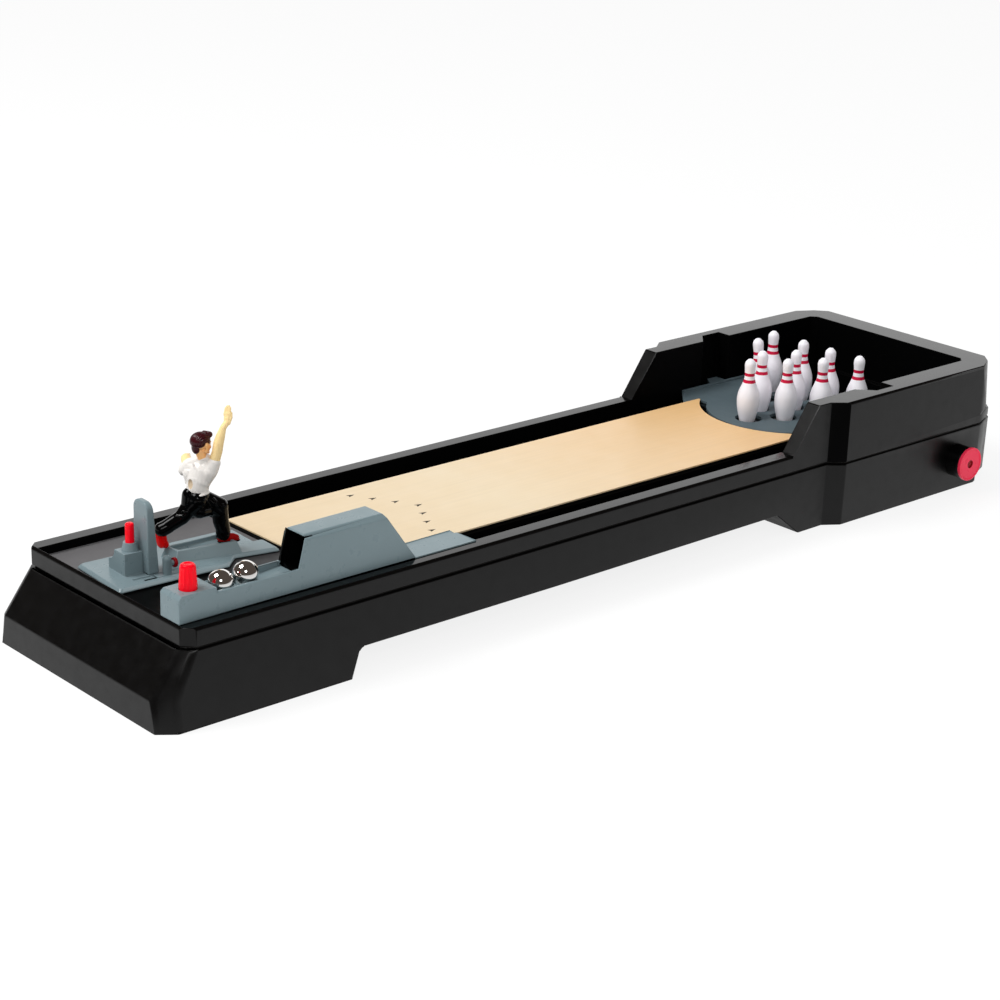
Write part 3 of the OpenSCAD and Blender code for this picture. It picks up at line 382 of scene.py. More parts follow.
# Widths of the rounded edges, and places along and across the casing in millimetres; upward and turned are
# how much of a face's normal has to point up, or another way
casing = {"edge": 0.45, "footEdge": 0.6, "footCorner": 2.4, "cornerReach": 8, "deckEdge": 0.25,
          "joints": (90.9, 367), "rearFrom": 397, "bayFloor": 38.6, "middle": -1,
          "upward": 0.6, "turned": 0.3}
softened("lower_casing", "casing", casing["footEdge"], [blackPlastic, blackShade], 2.5,
         [(frontCorner, casing["footCorner"], 4)], paint=undersideShade)
for part in ("front_bay", "upper_casing", "pin_enclosure"):
    softened(part, "casing", casing["edge"],
             [blackPlastic, blackGloss, blackShade, bayFloor], 2.2, plain=onJoint, paint=casingGlossShadeAndReflection)
softened("pin_deck", "casing", casing["deckEdge"], [deckShadedBlueGrey], 1.5)
print("casing ready")

# The seven arrows of the lane, from left to right
lane = {"markX": (-29.6, -20.0, -10.3, -0.2, 9.5, 19.3, 29.3),
        "markY": (156.9, 162.7, 168.7, 174.4, 169.1, 163.4, 158.0),
        "markLength": 4.0, "markWidth": 2.8, "ink": 0.03, "sunk": 0.02, "edge": 0.12}


def makeLane():
    softened("lane_board", "casing", lane["edge"], [lanePrint], 1.0, (), 2)
    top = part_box("lane_board")[1][2] / mm
    bm = bmesh.new()
    for x, y in zip(lane["markX"], lane["markY"]):
        half, long = lane["markWidth"] / 2, lane["markLength"]
        corners = [(0, long * 0.55), (-half, -long * 0.45), (0, -long * 0.25), (half, -long * 0.45)]
        made = [bm.verts.new(((x + u) * mm, (y + v) * mm, (top - lane["sunk"]) * mm)) for u, v in corners]
        face = bm.faces.new(made)
        lifted = bmesh.ops.extrude_face_region(bm, geom=[face])["geom"]
        bmesh.ops.translate(bm, vec=(0, 0, (lane["ink"] + lane["sunk"]) * mm),
                            verts=[v for v in lifted if isinstance(v, bmesh.types.BMVert)])
    bmesh.ops.recalc_face_normals(bm, faces=bm.faces)
    addPiece(bm, "lane_arrows", [laneMark], "casing")


makeLane()
print("lane ready")


# Pins: a turned body with two painted rings

# The line gives the radius up a pin, as shares of the full height and radius; the foot's heights are in
# millimetres and leaning is in degrees
pins = {
    "height": 34.0, "radius": 6.0,
    "line": [(0, .68), (.074, .77), (.157, .88), (.24, .967), (.32, 1), (.405, .98), (.49, .865),
             (.57, .69), (.653, .52), (.72, .45), (.77, .445), (.83, .466), (.9, .49), (.95, .44),
             (.985, .26), (1, 0)],
    "foot": [(0, 0), (0.6, 0), (0.66, 0.1)], "capFrom": 0.985, "capAngles": (0.45, 0.85, 1.2),
    "ringsBelowTop": (8.2, 11.8), "ringWidth": 1.7,
    "around": 40, "rows": 44, "apart": 0.25,
    "leaning": {4: 6.9},
}


# The radius at the share t of the height, on a smooth curve through the line's points
def smoothRadius(line, t):
    i = max(k for k in range(len(line) - 1) if line[k][0] <= t)
    a, b, c, d = (line[max(0, min(len(line) - 1, i + k))][1] for k in (-1, 0, 1, 2))
    s = (t - line[i][0]) / (line[i + 1][0] - line[i][0])
    bend, twist = 2 * a - 5 * b + 4 * c - d, 3 * b - a - 3 * c + d
    return 0.5 * (2 * b + (c - a) * s + bend * s * s + twist * s ** 3)


def makePin(number):
    node = f"pin_{number}"
    low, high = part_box(node)
    h, r = pins["height"], pins["radius"]
    bands = [(h - d - pins["ringWidth"] / 2, h - d + pins["ringWidth"] / 2) for d in pins["ringsBelowTop"]]
    heights = [pins["capFrom"] * h * i / pins["rows"] for i in range(pins["rows"] + 1)]
    heights = [z for z in heights if all(abs(z - e) > pins["apart"] for b in bands for e in b)]
    heights = sorted(heights + [e for b in bands for e in b])
    points = [(share * r, z) for share, z in pins["foot"]]
    points += [(smoothRadius(pins["line"], z / h) * r, z) for z in heights[1:]]
    wide, start = points[-1]
    points += [(wide * math.cos(a), start + (h - start) * math.sin(a)) for a in pins["capAngles"]]
    points += [(0, h)]
    bm = bmesh.new()
    chain = [bm.verts.new((x * mm, 0, z * mm)) for x, z in points]
    edges = [bm.edges.new(pair) for pair in zip(chain, chain[1:])]
    bmesh.ops.spin(bm, geom=chain + edges, cent=(0, 0, 0), axis=(0, 0, 1), angle=2 * math.pi,
                   steps=pins["around"], use_merge=True)
    bmesh.ops.remove_doubles(bm, verts=bm.verts, dist=1e-6)
    bmesh.ops.recalc_face_normals(bm, faces=bm.faces)
    for face in bm.faces:
        z = face.calc_center_median().z / mm
        face.material_index = 1 if any(b[0] < z < b[1] for b in bands) else 0
    shadeSmooth(bm, 50)
    lean = math.radians(pins["leaning"].get(number, 0))
    foot = Vector(((low[0] + high[0]) / 2, (low[1] + high[1]) / 2, low[2]))
    if lean:
        foot = Vector((high[0] - r * mm, foot.y, low[2]))
    bm.transform(Matrix.Translation(foot) @ Matrix.Rotation(-lean, 4, "Y"))
    addPiece(bm, f"{node}_turned", [whitePlastic, ringRed], node, [node])


for number in range(1, 11):
    makePin(number)
print("pins ready")


# Console and launcher

# The hollow of the hood, in millimetres, under a roof that slopes down past roofBend; its own top and side
# start at topFrom and sideFrom
hood = {"x": (41.3, 55.4), "y": (62.4, 122), "z": (44, 66.6), "roofBend": 106, "roofSlope": 1.25,
        "topFrom": 60, "sideFrom": 50, "edge": 0.5}


# The hood's hollow is painted black inside, as painted shade
def hoodInsideShade(face):
    p = face.calc_center_median() / mm
    deep = all(hood[side][0] < value < hood[side][1] for side, value in zip("xyz", p))
    onTop = face.normal.z > 0.2 and p.z > hood["topFrom"]
    onWall = face.normal.x > 0.3 and p.x > hood["sideFrom"]
    roof = hood["z"][1] - max(0, p.y - hood["roofBend"]) * hood["roofSlope"]
    return 1 if deep and not onTop and not onWall and p.z < roof else 0


softened("ball_console", "casing", hood["edge"], [bluePlastic, blackPlastic], 1.6,
         paint=hoodInsideShade)

launcher = {"edge": 0.3, "gripEdge": 0.7, "strikerEdge": 0.15, "flankFrom": 30}


# The sloped flanks of the tray and the groove are painted a paler blue-grey, as painted light
def flankPaintedLight(face):
    n, p = face.normal, face.calc_center_median() / mm
    return 1 if 0.12 < n.z < 0.85 and n.x > 0.2 and p.y > launcher["flankFrom"] else 0


softened("launcher_plate", "launcher", launcher["edge"], [bluePlastic, litPlastic], 1.0,
         paint=flankPaintedLight)
softened("aiming_grip", "launcher", launcher["gripEdge"], [bluePlastic], 0.3)
softened("striker", "striker", launcher["strikerEdge"], [bluePlastic], 0.5)

knob = {"edge": 0.25, "bossEdge": 0.5, "dimpleRadius": 2.25, "dimpleDepth": 1.4}
softened("knob_boss", "casing", knob["bossEdge"], [blackPlastic], 0.2)
knobLow, knobHigh = (Vector(v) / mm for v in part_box("reset_knob"))


# The dimple in the middle of the knob is painted a deeper red, as painted shade in the hollow
def knobDimpleShade(face):
    p = face.calc_center_median() / mm
    middle = (knobLow + knobHigh) / 2
    near = math.hypot(p.y - middle.y, p.z - middle.z) < knob["dimpleRadius"]
    return 1 if near and p.x > knobHigh.x - knob["dimpleDepth"] else 0


softened("reset_knob", "reset", knob["edge"], [knobRedAndSheen, darkRed], 0.2, paint=knobDimpleShade)
print("console, launcher and knob ready")


# Figure: every part is laid up from rounded shells in millimetres, fused into one skin and relaxed

# The size of each skin's cells and how often it is relaxed
skins = {"cloth": (0.24, 4), "head": (0.15, 3), "hair": (0.15, 2), "arm": (0.17, 3), "shoe": (0.18, 2)}

# The places and directions of the head and the hands
figure = {
    "head": (-10.6, 59.3, 91.4), "turn": 5.7,
    "palm": (-3.5, 67.5, 101.6), "palmUp": (-0.12, 0.2, 0.97), "palmSide": (0.67, 0.742, 0),
    "leftPalm": (-25.5, 61.7, 80.2), "leftUp": (-0.76, 0.62, -0.3), "leftSide": (0.1, 0.1, 0.99),
}


# A capsule from a to b with its own radius at each end, thinner across its side by squeeze
def shell(bm, a, b, ra, rb, squeeze=1.0, side=(1, 0, 0)):
    a, b = Vector(a), Vector(b)
    along = (b - a).normalized() if (b - a).length > 1e-6 else Vector((0, 0, 1))
    across = Vector(side) - Vector(side).dot(along) * along
    across = across.normalized() if across.length > 1e-3 else along.orthogonal().normalized()
    turned = Matrix((across, along.cross(across), along)).transposed()
    made = bmesh.ops.create_uvsphere(bm, u_segments=22, v_segments=14, radius=1)["verts"]
    for v in made:
        top = v.co.z > 0
        radius = rb if top else ra
        local = Vector((v.co.x * radius * squeeze, v.co.y * radius, v.co.z * radius))
        v.co = turned @ local + (b if top else a)


# An ellipsoid with three radii in a turned frame
def lump(bm, place, at, radii):
    made = bmesh.ops.create_uvsphere(bm, u_segments=26, v_segments=18, radius=1)["verts"]
    for v in made:
        v.co = place @ Vector([at[k] + v.co[k] * radii[k] for k in range(3)])


# Fuses the shells to one of the skins above, lets work press or colour it, and puts it in the set
def fused(name, bm, skinKind, mats, nodes, work=None):
    mesh = bpy.data.meshes.new(name + "_shells")
    bm.to_mesh(mesh)
    bm.free()
    rough = bpy.data.objects.new(name + "_shells", mesh)
    bpy.context.scene.collection.objects.link(rough)
    fuse = rough.modifiers.new("fuse", "REMESH")
    fuse.mode = "VOXEL"
    ease = rough.modifiers.new("ease", "SMOOTH")
    ease.factor = 0.5
    fuse.voxel_size, ease.iterations = skins[skinKind]
    skin = bpy.data.meshes.new_from_object(rough.evaluated_get(bpy.context.evaluated_depsgraph_get()))
    bpy.data.objects.remove(rough)
    out = bmesh.new()
    out.from_mesh(skin)
    if work:
        work(out)
    bmesh.ops.scale(out, vec=(mm, mm, mm), verts=out.verts)
    for face in out.faces:
        face.smooth = True
    return addPiece(out, name, mats, "launcher", nodes)


# Presses the skin in round a point, deepest in its middle
def press(bm, at, radii, depth, way):
    at, way = Vector(at), Vector(way).normalized()
    for v in bm.verts:
        d = v.co - at
        far = (d.x / radii[0]) ** 2 + (d.y / radii[1]) ** 2 + (d.z / radii[2]) ** 2
        if far < 1:
            v.co += way * depth * (1 - far) ** 0.7


def makeTrousers():
    bm = bmesh.new()
    hips, seat, fork = (-10.9, 57.2, 67.4), (-12.2, 53.9, 68.4), (-9.9, 57.0, 61.5)
    knee, ankle = (-9.2, 67.0, 61.4), (-7.8, 68.2, 49.7)
    rearThigh, rearKnee, rearHem = (-12.3, 52.3, 61.9), (-12.9, 49.6, 58.9), (-16.1, 42.2, 54.2)
    # Hips, waist, seat and fork
    shell(bm, (-13.0, 58.6, 66.6), (-9.3, 55.6, 66.9), 4.2, 4.2)
    shell(bm, hips, (-10.9, 57.0, 69.4), 4.7, 4.5, 1.05)
    shell(bm, seat, (-12.0, 53.4, 65.4), 3.8, 3.9)
    shell(bm, fork, (-11.2, 63.4, 60.4), 3.8, 3.4)
    # Front leg, from the thigh to the hem
    shell(bm, (-12.6, 59.0, 66.2), knee, 4.3, 4.1)
    shell(bm, (-11.2, 62.2, 64.6), (-8.7, 66.6, 59.8), 3.8, 3.7)
    shell(bm, knee, (-8.6, 67.4, 54.5), 3.95, 3.6)
    shell(bm, (-8.6, 67.4, 54.5), ankle, 3.6, 3.15)
    shell(bm, (-8.0, 67.9, 50.2), (-7.9, 68.0, 48.4), 3.1, 3.3)
    # Rear leg, from the thigh to the hem
    shell(bm, (-9.8, 55.2, 65.8), rearThigh, 4.1, 3.9)
    shell(bm, rearThigh, rearKnee, 3.9, 3.5)
    shell(bm, rearKnee, rearHem, 3.45, 3.2)
    shell(bm, (-15.2, 44.1, 55.2), (-16.3, 41.7, 54.0), 3.2, 3.5)
    creases = [((-7.6, 62.9, 66.4), (-5.6, 65.4, 62.6), .45), ((-8.6, 60.2, 66.9), (-5.9, 62.4, 64.3), .5),
               ((-6.1, 58.6, 66.3), (-6.2, 61.0, 62.7), .45), ((-5.7, 66.7, 63.4), (-5.3, 67.2, 58.9), .4),
               ((-6.9, 54.0, 66.3), (-8.6, 51.6, 64.2), .45), ((-8.9, 50.6, 62.4), (-10.4, 48.2, 62.4), .4),
               ((-9.8, 48.2, 60.7), (-12.6, 46.0, 60.2), .45), ((-11.2, 46.2, 58.4), (-13.4, 44.4, 58.7), .4),
               ((-12.6, 44.6, 56.2), (-14.4, 43.0, 57.4), .4), ((-5.4, 67.6, 55.6), (-5.1, 66.9, 52.2), .35),
               ((-12.0, 51.0, 70.2), (-9.4, 51.9, 69.9), .35), ((-5.4, 66.2, 50.8), (-4.9, 68.0, 49.4), .35)]
    for a, b, r in creases:
        shell(bm, a, b, r, r * 0.8)
    shell(bm, (-11.0, 57.1, 69.6), (-11.0, 57.1, 70.2), 4.75, 4.5, 1.02)  # waistband
    fused("trousers_sculpt", bm, "cloth", [blackLacquer], ["figure_trousers"])


# The middles and radii of the two rings that end the shirt, and the hole in its back
shirt = {
    "collarAt": (-10.25, 60.1, 85.3), "collarRadii": (2.45, 2.35), "collarWidth": 0.62,
    "hemAt": (-11.1, 57.1, 69.4), "hemRadii": (5.1, 4.75), "hemWidth": 0.55,
    "holeAt": (-10.5, 52.9, 74.3), "holeWay": (-0.5, 0.85, 0), "holePress": 0.7,
    "holeRadii": (1.25, 2.1), "stainRadii": (1.35, 2.2),
}


def makeShirt():
    bm = bmesh.new()
    torso = (0.893, 0.446, 0.06)
    waist, ribs, chest = (-11.2, 57.0, 71.6), (-11.0, 57.6, 75.4), (-10.7, 58.6, 79.2)
    # Body and shoulders
    shell(bm, waist, ribs, 4.75, 4.9, 1.08, torso)
    shell(bm, ribs, chest, 4.8, 4.5, 1.22, torso)
    shell(bm, (-15.6, 56.4, 80.0), (-7.0, 61.0, 80.9), 3.3, 3.5)
    # The slopes up to the collar
    shell(bm, (-10.6, 59.2, 81.4), (-10.2, 60.0, 85.0), 3.2, 2.3)
    shell(bm, (-15.9, 56.2, 81.6), (-11.6, 58.9, 84.0), 2.5, 2.0)
    # The raised right sleeve, the left sleeve and the sides under them
    shell(bm, (-6.6, 60.9, 80.4), (-5.7, 62.1, 83.6), 3.5, 2.95)
    shell(bm, (-6.7, 60.4, 79.6), (-9.4, 58.8, 74.6), 3.5, 3.4)
    shell(bm, (-16.4, 55.9, 80.4), (-17.7, 55.0, 78.6), 3.0, 3.0)
    shell(bm, (-16.2, 56.0, 80.9), (-18.7, 57.3, 81.1), 2.9, 2.5)
    shell(bm, (-14.6, 55.6, 77.8), (-13.2, 56.3, 73.4), 3.3, 3.3)
    (cx, cy, cz), (cu, cv) = shirt["collarAt"], shirt["collarRadii"]
    (hx, hy, hz), (hu, hv) = shirt["hemAt"], shirt["hemRadii"]
    for turn in range(0, 360, 20):
        arc = (math.radians(turn), math.radians(turn + 20))
        collar = [(cx + cu * math.cos(t), cy + cv * math.sin(t), cz + 0.35 * math.sin(t)) for t in arc]
        shell(bm, collar[0], collar[1], shirt["collarWidth"], shirt["collarWidth"])
        hem = [(hx + hu * math.cos(t), hy + hv * math.sin(t), hz + 0.5 * math.sin(t * 2 + 1)) for t in arc]
        shell(bm, hem[0], hem[1], shirt["hemWidth"], shirt["hemWidth"])
    folds = [((-6.1, 58.9, 81.6), (-8.9, 56.6, 77.2), .5), ((-5.0, 59.8, 80.2), (-7.4, 57.2, 75.4), .5),
             ((-12.9, 53.6, 79.6), (-11.6, 53.1, 75.0), .4), ((-15.9, 53.4, 77.8), (-14.4, 53.0, 73.6), .5),
             ((-8.3, 54.6, 74.6), (-6.9, 56.4, 71.6), .45), ((-13.4, 52.9, 71.9), (-10.9, 52.5, 71.2), .4),
             ((-10.9, 54.6, 83.2), (-8.3, 55.2, 79.0), .4), ((-7.0, 56.6, 73.0), (-6.2, 58.6, 71.2), .45)]
    for a, b, r in folds:
        shell(bm, a, b, r, r * 0.6)

    # The hole in the back of the shirt is pressed in and painted
    def work(skin):
        spot, inwards = Vector(shirt["holeAt"]), Vector(shirt["holeWay"]).normalized()

        def far(d, wide, tall):
            return ((d.x * 0.86 + d.y * 0.5) / wide) ** 2 + (d.z / tall) ** 2 if d.y < 2.5 else 1
        for v in skin.verts:
            share = far(v.co - spot, *shirt["holeRadii"])
            if share < 1:
                v.co += inwards * shirt["holePress"] * (1 - share) ** 0.5
        for face in skin.faces:
            if far(face.calc_center_median() - spot, *shirt["stainRadii"]) < 1:
                face.material_index = 1
    fused("shirt_sculpt", bm, "cloth", [whiteLacquer, shirtHole], ["figure_shirt"], work)


# The head looks along the lane; its frame has right, forward and up as axes
def headFrame():
    return Matrix.Translation(figure["head"]) @ Matrix.Rotation(math.radians(figure["turn"]), 4, "Z")


# Half of the face, in the head's frame; the lips start at lipsFrom forward and lie between two heights
features = {"socketAt": (1.55, 3.5, 0.05), "socketRadii": (1.05, 1.4, 0.75), "socketPress": 0.5,
            "eyeAt": (1.55, 3.02, 0.05), "eyeRadii": (0.78, 0.62, 0.46), "irisAt": (1.5, 0.05), "iris": 0.3,
            "brow": ((0.75, 3.5, 1.1), (1.5, 3.42, 1.38), (2.3, 2.95, 1.1)),
            "lipsFrom": 3.55, "lipsHalf": 0.95, "lipsBetween": (-3.55, -2.65)}


# A point of the face on the side s, which is -1 or 1
def onSide(s, point):
    return (s * point[0], point[1], point[2])


def makeHead():
    place = headFrame()
    bm = bmesh.new()

    def bone(a, b, ra, rb, squeeze=1.0, side=(1, 0, 0)):
        shell(bm, place @ Vector(a), place @ Vector(b), ra, rb, squeeze, side)
    lump(bm, place, (0, -0.6, 1.2), (3.65, 4.3, 3.7))  # skull
    lump(bm, place, (0, 1.0, -1.4), (2.9, 3.0, 3.4))  # lower face
    lump(bm, place, (0, 2.9, -4.05), (1.15, 0.95, 0.8))  # chin
    bone((-1.9, 3.05, 0.95), (1.9, 3.05, 0.95), 0.5, 0.5)  # brow
    bone((0, 3.55, 0.5), (0, 4.35, -1.7), 0.36, 0.6)  # nose
    bone((-0.75, 3.72, -2.85), (0.75, 3.72, -2.85), 0.25, 0.25)  # upper lip
    bone((-0.6, 3.68, -3.28), (0.6, 3.68, -3.28), 0.27, 0.27)  # lower lip
    for s in (-1, 1):
        bone((s * 2.6, -0.2, -2.5), (s * 0.9, 2.6, -4.0), 0.95, 0.8)  # jaw
        lump(bm, place, (s * 2.0, 2.5, -1.25), (1.0, 0.75, 0.8))  # cheek
        lump(bm, place, (s * 0.55, 3.95, -1.9), (0.42, 0.42, 0.34))  # nostril
        bone((s * 3.85, -0.55, 0.75), (s * 3.6, -0.35, -1.4), 0.85, 0.6, 0.45)  # ear
        bone((s * 4.05, -0.95, 0.9), (s * 3.95, -1.05, -0.6), 0.3, 0.25)  # rim of the ear
    bone((0, -1.2, -3.2), (0.4, 0.4, -7.2), 2.1, 2.35)  # neck

    # The eye sockets are pressed in and the lips are painted
    def work(skin):
        forward = place.to_3x3() @ Vector((0, 1, 0))
        for s in (-1, 1):
            socket = place @ Vector(onSide(s, features["socketAt"]))
            press(skin, socket, features["socketRadii"], features["socketPress"], -forward)
        back = place.inverted()
        under, over = features["lipsBetween"]
        for face in skin.faces:
            p = back @ face.calc_center_median()
            lips = p.y > features["lipsFrom"] and abs(p.x) < features["lipsHalf"] and under < p.z < over
            face.material_index = 1 if lips else 0
    fused("head_sculpt", bm, "head", [faceLacquer, lipLacquer], ["figure_head"], work)
    makeEyes(place)
    makeBrows(place)


# Painted eyes: a white with a dark iris in each socket
def makeEyes(place):
    bm = bmesh.new()
    back = place.inverted()
    for s in (-1, 1):
        lump(bm, place, onSide(s, features["eyeAt"]), features["eyeRadii"])
    x, z = features["irisAt"]
    for face in bm.faces:
        p = back @ face.calc_center_median()
        if math.hypot(abs(p.x) - x, p.z - z) < features["iris"] and p.y > 3:
            face.material_index = 1
    bmesh.ops.scale(bm, vec=(mm, mm, mm), verts=bm.verts)
    shadeSmooth(bm, 60)
    addPiece(bm, "eyes", [whiteLacquer, hairLacquer], "launcher")


def makeBrows(place):
    bm = bmesh.new()
    for s in (-1, 1):
        arc = [onSide(s, point) for point in features["brow"]]
        for a, b in zip(arc, arc[1:]):
            shell(bm, place @ Vector(a), place @ Vector(b), 0.2, 0.16)
    bmesh.ops.scale(bm, vec=(mm, mm, mm), verts=bm.verts)
    shadeSmooth(bm, 60)
    addPiece(bm, "brows", [hairLacquer], "launcher")


# The rows of locks that are combed over the crown, from the brow to the nape
hair = {"rows": range(-5, 6), "apart": 0.72, "crown": 4.25, "lock": 0.36}


def makeHair():
    place = headFrame()
    bm = bmesh.new()

    def lock(a, b, ra, rb):
        shell(bm, place @ Vector(a), place @ Vector(b), ra, rb)
    lump(bm, place, (-0.1, -1.9, 1.7), (4.0, 3.75, 3.3))  # back of the head
    lump(bm, place, (0, -0.5, 2.3), (3.95, 4.3, 3.0))  # crown
    lump(bm, place, (-0.4, -3.3, -1.0), (2.3, 1.5, 2.9))  # nape
    lock((-1.6, 2.7, 4.0), (1.9, 2.6, 4.3), 1.3, 1.5)  # fringe
    lock((0.3, 3.2, 4.5), (2.3, 2.2, 5.0), 1.0, 0.9)  # the fringe's raised end
    for s in (-1, 1):
        lock((s * 3.4, 1.2, 2.4), (s * 3.45, 1.1, 1.0), 0.5, 0.3)  # in front of each ear
    turns = [math.radians(t) for t in range(35, 190, 15)]
    for row in hair["rows"]:
        x = hair["apart"] * row
        thin = math.sqrt(max(0.05, 1 - (x / hair["crown"]) ** 2))
        walk = [(x, -0.9 + 4.45 * math.cos(t) * thin, 1.55 + 3.9 * math.sin(t) * thin) for t in turns]
        for a, b in zip(walk, walk[1:]):
            lock(a, b, hair["lock"], hair["lock"])
    fused("hair_sculpt", bm, "hair", [hairLacquer], ["figure_hair"])


# A hand with its wrist at the origin: up runs to the fingertips and side to the thumb
def makeHand(bm, at, up, side):
    up = Vector(up).normalized()
    side = (Vector(side) - Vector(side).dot(up) * up).normalized()
    turned = Matrix((side, up.cross(side), up)).transposed().to_4x4()
    place = Matrix.Translation(at) @ turned

    def bone(a, b, ra, rb, squeeze=1.0, across=(0, 1, 0)):
        shell(bm, place @ Vector(a), place @ Vector(b), ra, rb, squeeze, turned.to_3x3() @ Vector(across))
    # Palm, four fingers and the thumb
    bone((0, 0, -0.4), (0.1, 0, 1.6), 1.3, 1.45, 0.75)
    bone((0.1, 0, 1.6), (0, 0, 3.6), 1.55, 1.45, 0.55)
    for k, reach in zip((-1.5, -0.5, 0.5, 1.5), (6.3, 7.1, 7.2, 6.6)):
        bone((0.76 * k, 0, 3.4), (0.62 * k, 0.1, reach), 0.6, 0.48)
    bone((0.8, 0, -0.2), (1.75, 0.2, 2.4), 0.95, 0.66)
    bone((1.75, 0.2, 2.4), (1.75, 0.3, 4.3), 0.62, 0.45)


# The raised arm
def makeRightArm():
    bm = bmesh.new()
    elbow, wrist = (-4.7, 63.9, 92.4), (-3.9, 65.9, 99.4)
    shell(bm, (-6.0, 61.8, 82.6), (-5.0, 63.4, 88.6), 2.55, 2.3)
    shell(bm, (-5.0, 63.4, 88.6), elbow, 2.3, 2.35)
    shell(bm, elbow, (-4.4, 64.8, 95.6), 2.3, 2.05)
    shell(bm, (-4.4, 64.8, 95.6), wrist, 2.0, 1.42)
    shell(bm, wrist, figure["palm"], 1.42, 1.4)
    makeHand(bm, figure["palm"], figure["palmUp"], figure["palmSide"])
    fused("right_arm_sculpt", bm, "arm", [skinLacquer], ["figure_right_arm"])


# The other arm, stretched out to the left and away from the camera
def makeLeftArm():
    bm = bmesh.new()
    shell(bm, (-17.6, 56.2, 81.3), (-21.2, 58.1, 82.1), 2.45, 2.35)
    shell(bm, (-21.2, 58.1, 82.1), (-23.3, 59.7, 81.6), 2.35, 2.05)
    shell(bm, (-23.3, 59.7, 81.6), figure["leftPalm"], 2.0, 1.35)
    makeHand(bm, figure["leftPalm"], figure["leftUp"], figure["leftSide"])
    fused("left_arm_sculpt", bm, "arm", [skinLacquer], ["figure_left_arm"])


# Where the front shoe starts along the lane and how high the black of its painted shadow reaches; each sole
# is thin this way
shoes = {"frontFrom": 55, "shadowTop": 45.4, "frontSole": (0, 0, 1), "rearSole": (0.3, -0.95, 0.1)}


def makeShoes():
    bm = bmesh.new()
    # Front shoe: heel, instep, toe and sole
    shell(bm, (-8.0, 67.2, 46.6), (-7.8, 68.2, 48.6), 2.1, 2.2)
    shell(bm, (-8.0, 68.0, 46.9), (-6.3, 72.2, 46.4), 2.1, 1.9)
    shell(bm, (-6.3, 72.2, 46.3), (-5.8, 73.3, 46.0), 1.9, 1.75)
    shell(bm, (-8.0, 67.4, 45.0), (-5.9, 73.4, 45.0), 2.1, 2.15, 0.3, shoes["frontSole"])
    # Rear shoe, on its toe: heel, toe and sole
    shell(bm, (-16.5, 41.3, 51.3), (-16.0, 41.5, 48.4), 2.3, 2.2)
    shell(bm, (-16.0, 41.6, 48.4), (-15.7, 42.6, 46.8), 2.1, 1.7)
    shell(bm, (-16.4, 40.0, 51.4), (-15.6, 40.3, 47.8), 2.35, 2.2, 0.32, shoes["rearSole"])

    # The front shoe is painted a deeper red as painted shade, and black at its sole as painted shadow
    def work(skin):
        for face in skin.faces:
            p = face.calc_center_median()
            if p.y > shoes["frontFrom"]:
                face.material_index = 2 if p.z < shoes["shadowTop"] else 1
    fused("shoes_sculpt", bm, "shoe", [redLacquer, shadedRedLacquer, blackLacquer], ["figure_shoes"],
          work)


makeTrousers()
makeShirt()
makeHead()
makeHair()
makeRightArm()
makeLeftArm()
makeShoes()
print("figure ready")


# Ribbed button, trigger peg and striker pad

redParts = {"buttonAround": 72, "buttonRibs": 12, "buttonRib": 0.32, "buttonStem": 3.85, "pegAround": 60,
            "padEdge": 0.35}


# A turned red cap on the axis of its node, with ribs up its side when asked for
def turnedCap(name, node, body, profile, ribs=0, rib=0.0, ribSpan=(0, 0), around=60):
    low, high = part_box(node)
    middle = Vector(((low[0] + high[0]) / 2, (low[1] + high[1]) / 2, 0))
    bm = bmesh.new()
    chain = [bm.verts.new((r * mm, 0, z * mm)) for r, z in profile]
    edges = [bm.edges.new(pair) for pair in zip(chain, chain[1:])]
    bmesh.ops.spin(bm, geom=chain + edges, cent=(0, 0, 0), axis=(0, 0, 1), angle=2 * math.pi, steps=around,
                   use_merge=True)
    bmesh.ops.remove_doubles(bm, verts=bm.verts, dist=1e-6)
    bmesh.ops.recalc_face_normals(bm, faces=bm.faces)
    for v in bm.verts:
        z, r = v.co.z / mm, math.hypot(v.co.x, v.co.y) / mm
        if ribs and r > 1 and ribSpan[0] < z < ribSpan[1]:
            wave = 0.5 + 0.5 * math.cos(ribs * math.atan2(v.co.y, v.co.x))
            fade = min(1, (z - ribSpan[0]) / 0.5, (ribSpan[1] - z) / 0.5)
            v.co.xy *= 1 + rib * (wave ** 2 - 0.5) * fade / r
    shadeSmooth(bm, 50)
    bmesh.ops.translate(bm, vec=middle, verts=bm.verts)
    return addPiece(bm, name, [redPlastic], body, [node])


# The profile with more points along its straight lines
def divided(points, rows):
    out = [points[0]]
    for a, b in zip(points, points[1:]):
        steps = max(1, int(math.dist(a, b) / rows))
        out += [(a[0] + (b[0] - a[0]) * i / steps, a[1] + (b[1] - a[1]) * i / steps)
                for i in range(1, steps + 1)]
    return out


# A flange, the ribbed side, and a rounded top with a dish in its middle
def makeButton():
    start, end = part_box("console_button")
    low, high, wide = start[2] / mm, end[2] / mm, (end[0] - start[0]) / mm / 2
    stem = redParts["buttonStem"]
    line = [(0, low), (wide, low), (wide, low + 1.3), (stem, low + 1.3), (stem, high - 10.6),
            (3.2, high - 1.1), (3.05, high - 0.55), (2.7, high - 0.18), (2.2, high), (1.7, high - 0.02),
            (1.3, high - 0.22), (0, high - 0.3)]
    turnedCap("button_ribbed", "console_button", "button", divided(line, 0.5), redParts["buttonRibs"],
              redParts["buttonRib"], (high - 10.4, high - 0.7), redParts["buttonAround"])


